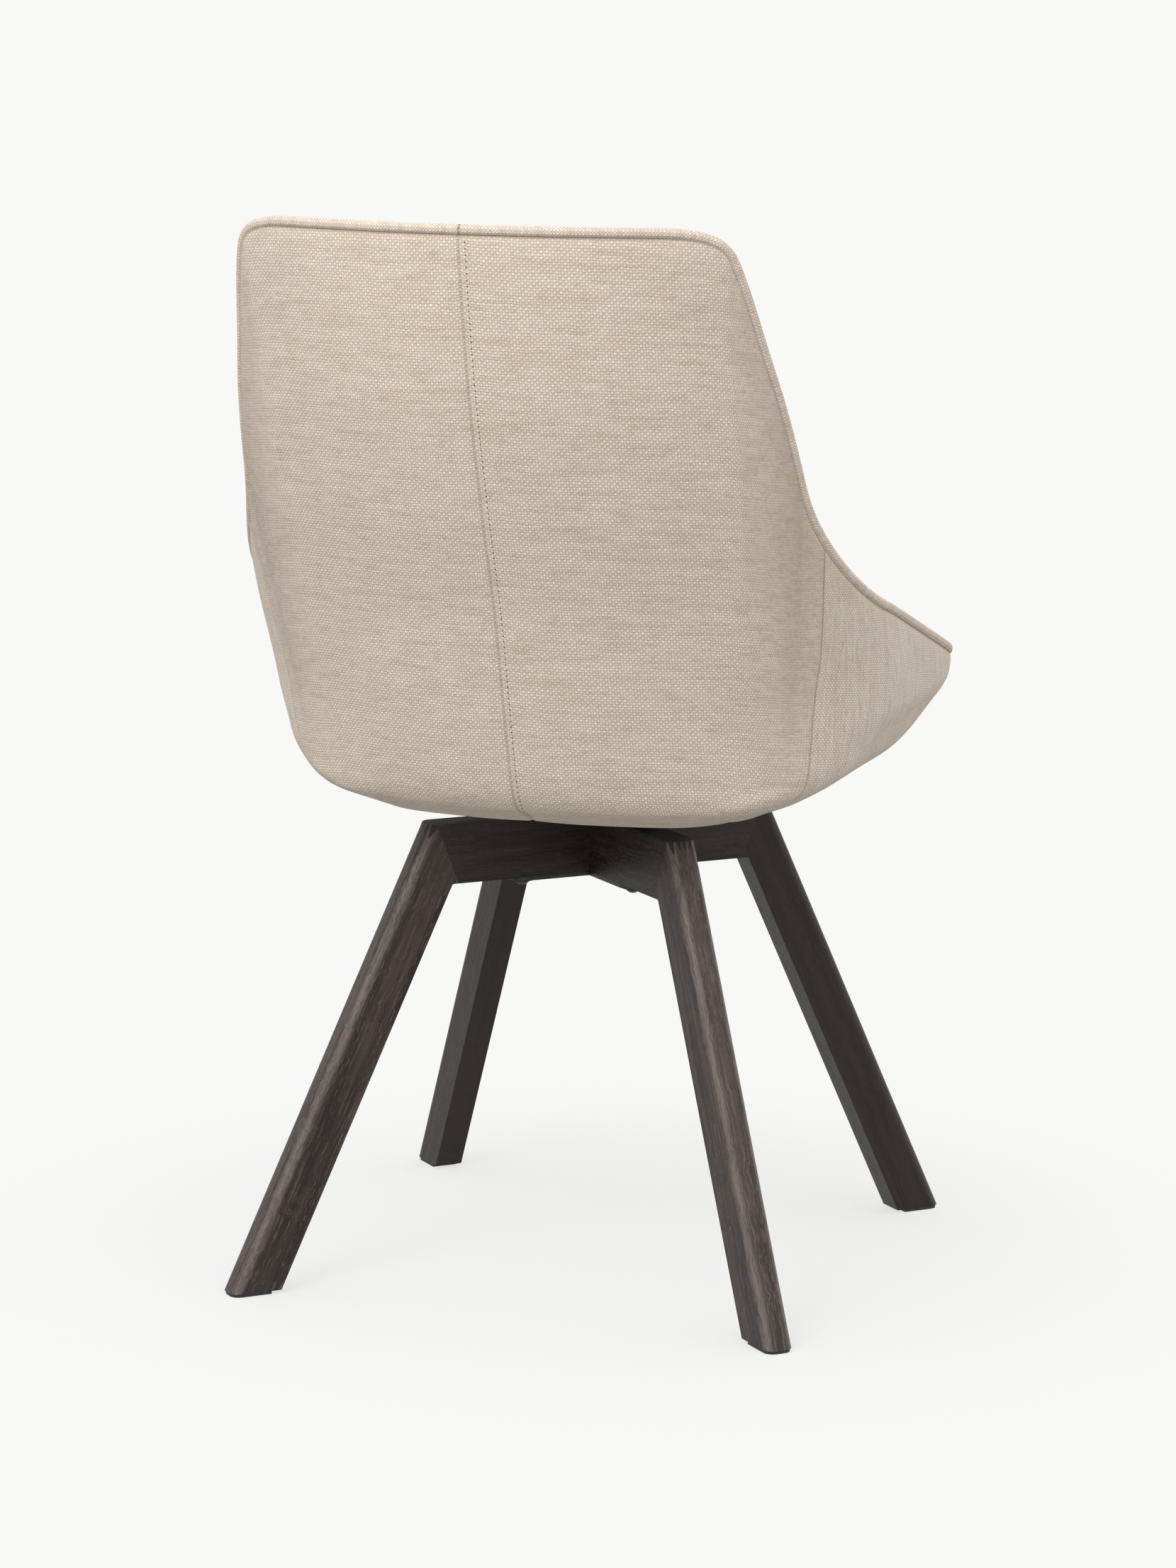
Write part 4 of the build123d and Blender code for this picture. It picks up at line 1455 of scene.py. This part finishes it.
@dataclass
class Topstitching:
    """The row of stitches beside the back's centre seam: sunken thread, with small dark beads as painted shade of the
    needle holes.
    """

    offset: float = 0.0056
    pitch: float = 0.0048
    foot_margin: float = 0.012
    rim_margin: float = 0.004
    stitch_share: float = 0.36                        # half a stitch's length, in pitches
    thread: float = 0.00042
    thread_sunk: float = 0.00010
    hole: float = 0.00062
    hole_depth: float = 0.00032
    hole_sunk: float = 0.00002
    sides: int = 8
    rings: int = 6
    pole_gap: float = 0.12                            # angle left open for a bead's end cap

    def row(self) -> tuple[Array, Array, Array]:
        """The row of needle holes.

        Returns:
            Their places, the cloth's outward direction and the row's direction at each.
        """
        covers = Covers()
        face, _ = covers.outer_face(Panel.BACK)
        face = mirrored(face[covers.under_rows + 1:], Side.RIGHT)
        run = arc_lengths(face, 1)
        index = int(np.argmin(np.abs(run[len(run) // 2] - self.offset)))
        line = face[:, index]
        rise = np.concatenate([[0], np.cumsum(np.linalg.norm(np.diff(line, axis=0), axis=1))])
        even = np.arange(self.foot_margin, rise[-1] - self.rim_margin, self.pitch)
        places = np.stack([np.interp(even, rise, line[:, k]) for k in range(3)], 1)
        way = np.gradient(places, axis=0)
        way /= np.linalg.norm(way, axis=1, keepdims=True)
        outward = np.cross(way, RIGHTWARDS)
        outward *= np.sign(outward[:, 1:2])
        outward /= np.linalg.norm(outward, axis=1, keepdims=True)
        return places, outward, way

    def build(self, thread: Material, hole: Material) -> list[Piece]:
        """Builds the thread's stitches and the needle holes' painted shade, each as many small ellipsoids in one
        piece.

        Args:
            thread: the thread's finish.
            hole: the dark finish that paints the needle holes' shade.

        Returns:
            The two pieces.
        """
        places, outward, way = self.row()
        across = np.cross(way, outward)
        between = (places[1:] + places[:-1]) / 2
        stitch = (self.pitch * self.stitch_share, self.thread, self.thread)
        needle = (self.hole, self.hole, self.hole_depth)
        made = []
        for name, at, axes, size, sunk, finish in (
            ("topstitch_thread", between, (way[1:], across[1:], outward[1:]), stitch, self.thread_sunk, thread),
            ("topstitch_hole_shades", places, (way, across, outward), needle, self.hole_sunk, hole),
        ):
            points, quads = self.beads(at - axes[2] * sunk, axes, size)
            piece = make_mesh(name, points, quads, points[:, [0, 2]])
            piece.data.materials.append(finish)
            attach(piece, "seat")
            made.append(piece)
        return made

    def beads(self, centres: Array, axes: tuple[Array, ...], size: tuple[float, ...]) -> tuple[Array, Array]:
        """Small ellipsoids, each closed by a flat cap at either end.

        Args:
            centres: their centres.
            axes: three directions for each.
            size: half their length along each direction.

        Returns:
            Vertices and quads. A vertex is the centre plus the sine of its latitude along the first
            direction, and the cosine times those of its longitude along the others.
        """
        latitude = np.linspace(-np.pi / 2 + self.pole_gap, np.pi / 2 - self.pole_gap, self.rings)
        angle = np.linspace(0, 2 * np.pi, self.sides, endpoint=False)
        one = np.sin(latitude)[:, None] + 0 * angle[None, :]
        two = np.cos(latitude)[:, None] * np.cos(angle)[None, :]
        three = np.cos(latitude)[:, None] * np.sin(angle)[None, :]
        shape = sum(part[None, ..., None] * length * axis[:, None, None, :]
                    for part, length, axis in zip((one, two, three), size, axes))
        points = centres[:, None, None, :] + shape
        body = grid_quads(self.rings, self.sides, wrap_columns=True)
        near = np.arange(self.sides // 2)
        far = self.sides - 1 - near
        cap = np.stack([near[:-1], near[1:], far[1:], far[:-1]], -1)
        single = np.concatenate([body, cap[:, ::-1], cap + (self.rings - 1) * self.sides])
        count = self.rings * self.sides
        quads = (single[None] + np.arange(len(centres))[:, None, None] * count).reshape(-1, 4)
        return points.reshape(-1, 3), quads


# ------------------------------------------------------------------ frame and fittings
@dataclass
class WoodenFrame:
    """Finishes of the legs and the rails, with painted shade on the rails and on the front legs."""

    reach_floor: float = 0.3323                       # a leg's outer face from the swivel's axis
    reach_top: float = 0.1555
    leg_height: float = 0.3762
    # painted shadow of the seat over the rails
    rail_painted_shade: float = 0.40
    grain_step: float = 0.37                          # offset of the grain from piece to piece
    rail_step: float = 1.7
    # painted shade of each leg, 1 for none: the front legs are darkened as they lie in shade
    painted_shades: tuple[tuple[Corner, float], ...] = (
        (Corner.REAR_LEFT, 0.95), (Corner.REAR_RIGHT, 1.0), (Corner.FRONT_RIGHT, 0.18), (Corner.FRONT_LEFT, 0.18),
    )

    def dress(self) -> None:
        """Gives every leg and rail its own stretch of grain along its length, and its painted shade."""
        lean = float(np.arctan((self.reach_floor - self.reach_top) / self.leg_height))
        outer = self.reach_floor * float(np.cos(lean))
        slope = 90.0 - float(np.degrees(lean))
        for index, (corner, shade) in enumerate(self.painted_shades, start=1):
            name = corner.name.lower()
            shift = self.grain_step * index
            leg = StainedWood(shade=shade).make("wood_leg_" + name, corner.value, slope, shift, outer)
            rail = StainedWood(shade=self.rail_painted_shade).make(
                "wood_rail_" + name, corner.value, 0.0, shift + self.rail_step, None)
            put_on("leg_" + name, leg)
            put_on("rail_" + name, rail)


@dataclass
class Hardware:
    """Finishes of the swivel, the cross, the fasteners, the glides and the hidden shell."""

    finishes: tuple[tuple[Finish, tuple[str, ...]], ...] = (
        (Finish("black_powder_coat", (0.010, 0.010, 0.011), (0.020, 0.020, 0.021), (0.38, 0.55)),
         ("cross_plate", "frame_washers", "frame_bolts", "swivel_base_plate", "swivel_top_plate", "seat_screws")),
        (Finish("zinc_plate", (0.46, 0.47, 0.49), (0.60, 0.60, 0.60), (0.26, 0.44), 1.0, (300.0, 300.0, 2400.0)),
         ("glide_nails", "frame_nuts", "pivot_pin", "pivot_washer", "pivot_nut", "tee_nuts")),
        (Finish("ground_steel", (0.58, 0.58, 0.59), (0.68, 0.68, 0.68), (0.12, 0.24), 1.0, (60.0, 60.0, 4000.0)),
         ("lower_race", "upper_race", "bearing_balls")),
        (Finish("sintered_bronze", (0.42, 0.28, 0.13), (0.55, 0.38, 0.19), (0.34, 0.50), 1.0),
         ("pivot_bush",)),
        (Finish("black_nylon", (0.012, 0.012, 0.012), (0.022, 0.022, 0.022), (0.48, 0.66)),
         ("ball_cage", *("glide_" + corner.name.lower() for corner in Corner))),
        (Finish("lining_cloth", (0.012, 0.012, 0.013), (0.026, 0.026, 0.028), (0.86, 0.98), 0.0,
                (2400.0, 700.0, 900.0)),
         ("dust_cover",)),
        (Finish("moulded_shell", (0.026, 0.025, 0.024), (0.040, 0.039, 0.038), (0.55, 0.70)),
         ("seat_shell",)),
    )

    def dress(self) -> None:
        """Puts each finish on its pieces."""
        for finish, nodes in self.finishes:
            material = finish.make()
            for node in nodes:
                put_on(node, material)


# ------------------------------------------------------------------ studio
@dataclass
class Studio:
    """Pale floor, soft light and the camera. Directions are shares of the camera's right, back and up."""

    azimuth: float = 198.38
    elevation: float = 11.161
    roll: float = 0.5157
    distance: float = 4.0267
    target: float = 0.3465
    focal_pixels: float = 6874.05
    centre_shift: tuple[float, float] = (11.55, 84.21)
    image_height: float = 2212.0
    sensor: float = 36.0
    clip: Band = (0.1, 200.0)
    ambient: float = 0.90
    key: float = 17.3
    key_aim: Colour = (0.0, 0.25, 0.80)
    key_toward: Colour = (-0.45, 0.80, 0.42)
    key_distance: float = 1.7
    key_size: float = 1.1
    top: float = 0.55
    top_toward: Colour = (-0.35, 0.30, 0.95)
    top_angle: float = 60.0
    fill: float = 0.85
    fill_toward: Colour = (0.9, 0.6, 0.5)
    fill_angle: float = 90.0
    pale: Colour = (0.939, 0.939, 0.922)
    near: Colour = (0.660, 0.660, 0.648)              # the floor near the chair, as it is seen
    unseen: Colour = (0.36, 0.35, 0.34)               # the floor as it lights the chair
    floor_reach: float = 40.0
    floor_rough: float = 0.9
    floor_specular: float = 0.1
    fade: tuple[float, float, float, float] = (0.30, 0.62, 0.72, 1.0)

    def directions(self) -> tuple[Array, Array, Array]:
        """The camera's right, up and backward directions, before its roll.

        Returns:
            The three directions.
        """
        a, e = np.radians(self.azimuth), np.radians(self.elevation)
        back = np.array([np.sin(a) * np.cos(e), -np.cos(a) * np.cos(e), np.sin(e)])
        right = np.array([np.cos(a), np.sin(a), 0.0])
        return right, np.cross(back, right), back

    def toward(self, parts: Colour) -> Array:
        """Direction made of parts of the camera's right, back and up."""
        right, up, back = self.directions()
        return parts[0] * right + parts[1] * back + parts[2] * up

    def camera(self) -> None:
        """Sets up the camera at the photograph's viewing angle."""
        right, up, back = self.directions()
        lens = bpy.data.cameras.new("camera")
        lens.sensor_width = self.sensor
        lens.lens = self.focal_pixels * self.sensor / self.image_height
        lens.shift_x = -self.centre_shift[0] / self.image_height
        lens.shift_y = self.centre_shift[1] / self.image_height
        lens.clip_start, lens.clip_end = self.clip
        turn = np.radians(self.roll)
        axes = (np.cos(turn) * right + np.sin(turn) * up, np.cos(turn) * up - np.sin(turn) * right, back)
        seat = Matrix(np.array(axes).T.tolist()).to_4x4()
        seat.translation = Vector((0, 0, self.target)) + Vector(back.tolist()) * self.distance
        eye = bpy.data.objects.new("camera", lens)
        eye.matrix_world = seat
        bpy.context.scene.collection.objects.link(eye)
        bpy.context.scene.camera = eye

    def lamp(self, light: bpy.types.Light, toward: Array) -> Piece:
        """Hangs up a lamp.

        Args:
            light: the lamp's light.
            toward: direction from the chair to the lamp.

        Returns:
            The lamp, turned to shine the other way.
        """
        made = bpy.data.objects.new(light.name, light)
        made.rotation_mode = "QUATERNION"
        made.rotation_quaternion = Vector(toward.tolist()).to_track_quat("Z", "Y")
        bpy.context.scene.collection.objects.link(made)
        return made

    def lights(self) -> None:
        """A soft box at the camera's upper left, a top light and a weak fill."""
        box = bpy.data.lights.new("key", "AREA")
        box.shape, box.size, box.energy = "DISK", self.key_size, self.key
        toward = self.toward(self.key_toward)
        toward /= np.linalg.norm(toward)
        self.lamp(box, toward).location = Vector(self.key_aim) + Vector(toward.tolist()) * self.key_distance
        for name, strength, angle, parts in (("top", self.top, self.top_angle, self.top_toward),
                                             ("fill", self.fill, self.fill_angle, self.fill_toward)):
            sun = bpy.data.lights.new(name, "SUN")
            sun.energy, sun.angle = strength, np.radians(angle)
            self.lamp(sun, self.toward(parts))

    def surroundings(self) -> None:
        """White all round for the light, and the pale background for what is seen."""
        world = bpy.data.worlds.new("surroundings")
        world.use_nodes = True
        tree = world.node_tree
        background = tree.nodes["Background"]
        background.inputs["Color"].default_value = (1, 1, 1, 1)
        background.inputs["Strength"].default_value = self.ambient
        seen = tree.nodes.new("ShaderNodeBackground")
        seen.inputs["Color"].default_value = (*self.pale, 1)
        mixer = tree.nodes.new("ShaderNodeMixShader")
        tree.links.new(seen_rays(tree), mixer.inputs[0])
        tree.links.new(background.outputs[0], mixer.inputs[1])
        tree.links.new(seen.outputs[0], mixer.inputs[2])
        tree.links.new(mixer.outputs[0], tree.nodes["World Output"].inputs[0])
        bpy.context.scene.world = world

    def floor(self) -> None:
        """Pale floor that keeps the shadow near the chair and fades into the background."""
        reach = self.floor_reach
        corners = np.array([[-reach, -reach, 0], [reach, -reach, 0], [reach, reach, 0], [-reach, reach, 0]])
        mesh = bpy.data.meshes.new("floor")
        mesh.from_pydata(corners.tolist(), [], [(0, 1, 2, 3)])
        slab = bpy.data.objects.new("floor", mesh)
        bpy.context.scene.collection.objects.link(slab)
        n = Nodes("pale_floor")
        tree = n.tree
        n.link(n.mix(seen_rays(tree), self.unseen, self.near), n.shader.inputs["Base Color"])
        n.shader.inputs["Roughness"].default_value = self.floor_rough
        n.shader.inputs["Specular IOR Level"].default_value = self.floor_specular
        x, y, _ = n.split(n.add("ShaderNodeTexCoord").outputs["Object"])
        far = n.math("SQRT", n.plus(n.times(x, x), n.times(y, y)))
        glow = n.add("ShaderNodeEmission")
        glow.inputs["Color"].default_value = (*self.pale, 1)
        mixer = n.add("ShaderNodeMixShader")
        n.link(n.times(seen_rays(tree), n.steps(far, *self.fade)), mixer.inputs[0])
        n.link(n.shader.outputs[0], mixer.inputs[1])
        n.link(glow.outputs[0], mixer.inputs[2])
        n.link(mixer.outputs[0], tree.nodes["Material Output"].inputs[0])
        mesh.materials.append(n.material)


def seen_rays(tree: bpy.types.NodeTree) -> Socket:
    """1 for camera, glossy and transmission rays, which see the plain background.

    Args:
        tree: the node tree that gets the nodes.

    Returns:
        The result's socket.
    """
    path = tree.nodes.new("ShaderNodeLightPath")
    total = path.outputs["Is Camera Ray"]
    for name in ("Is Glossy Ray", "Is Transmission Ray"):
        most = tree.nodes.new("ShaderNodeMath")
        most.operation = "MAXIMUM"
        tree.links.new(total, most.inputs[0])
        tree.links.new(path.outputs[name], most.inputs[1])
        total = most.outputs[0]
    return total


def main() -> None:
    """Builds the chair's upholstery, dresses every other piece and sets up the studio."""
    logging.basicConfig(level=logging.INFO, format="%(message)s")
    outer = Fabric("basket_weave_outer").make()
    side_cloth = Fabric("basket_weave_side", yarn=(0.775, 0.705, 0.606), warm=(0.650, 0.548, 0.450), turn=90.0,
                        pitch=0.0020, relief=0.00034, slubs=0.4).make()
    inner = Fabric("basket_weave_inner").make()
    bias = Fabric("basket_weave_bias", yarn=(0.735, 0.655, 0.556), warm=(0.640, 0.530, 0.428), turn=45.0,
                  pitch=0.0019).make()
    # dark finish for the beads that paint the needle holes' shade
    hole = Finish("needle_hole_shade", (0.05, 0.038, 0.028), (0.09, 0.07, 0.052), (0.9, 1.0)).make()
    covers = Covers()
    for side in Side:
        for panel, cloth in ((Panel.BACK, outer), (Panel.SIDE, side_cloth)):
            log.info("cover %s", covers.build(side, panel, cloth).name)
    log.info("piping %s", Piping().build(bias).name)
    lining = Lining()
    log.info("lining %s", lining.build(Panel.BACK, None, inner).name)
    for side in Side:
        log.info("lining %s", lining.build(Panel.SIDE, side, inner).name)
    log.info("cushion %s", Cushion().build(inner).name)
    for piece in Topstitching().build(bias, hole):
        log.info("stitching %s", piece.name)
    WoodenFrame().dress()
    Hardware().dress()
    bpy.context.scene.view_settings.view_transform = "Standard"
    studio = Studio()
    studio.floor()
    studio.lights()
    studio.surroundings()
    studio.camera()


if __name__ == "__main__":
    main()
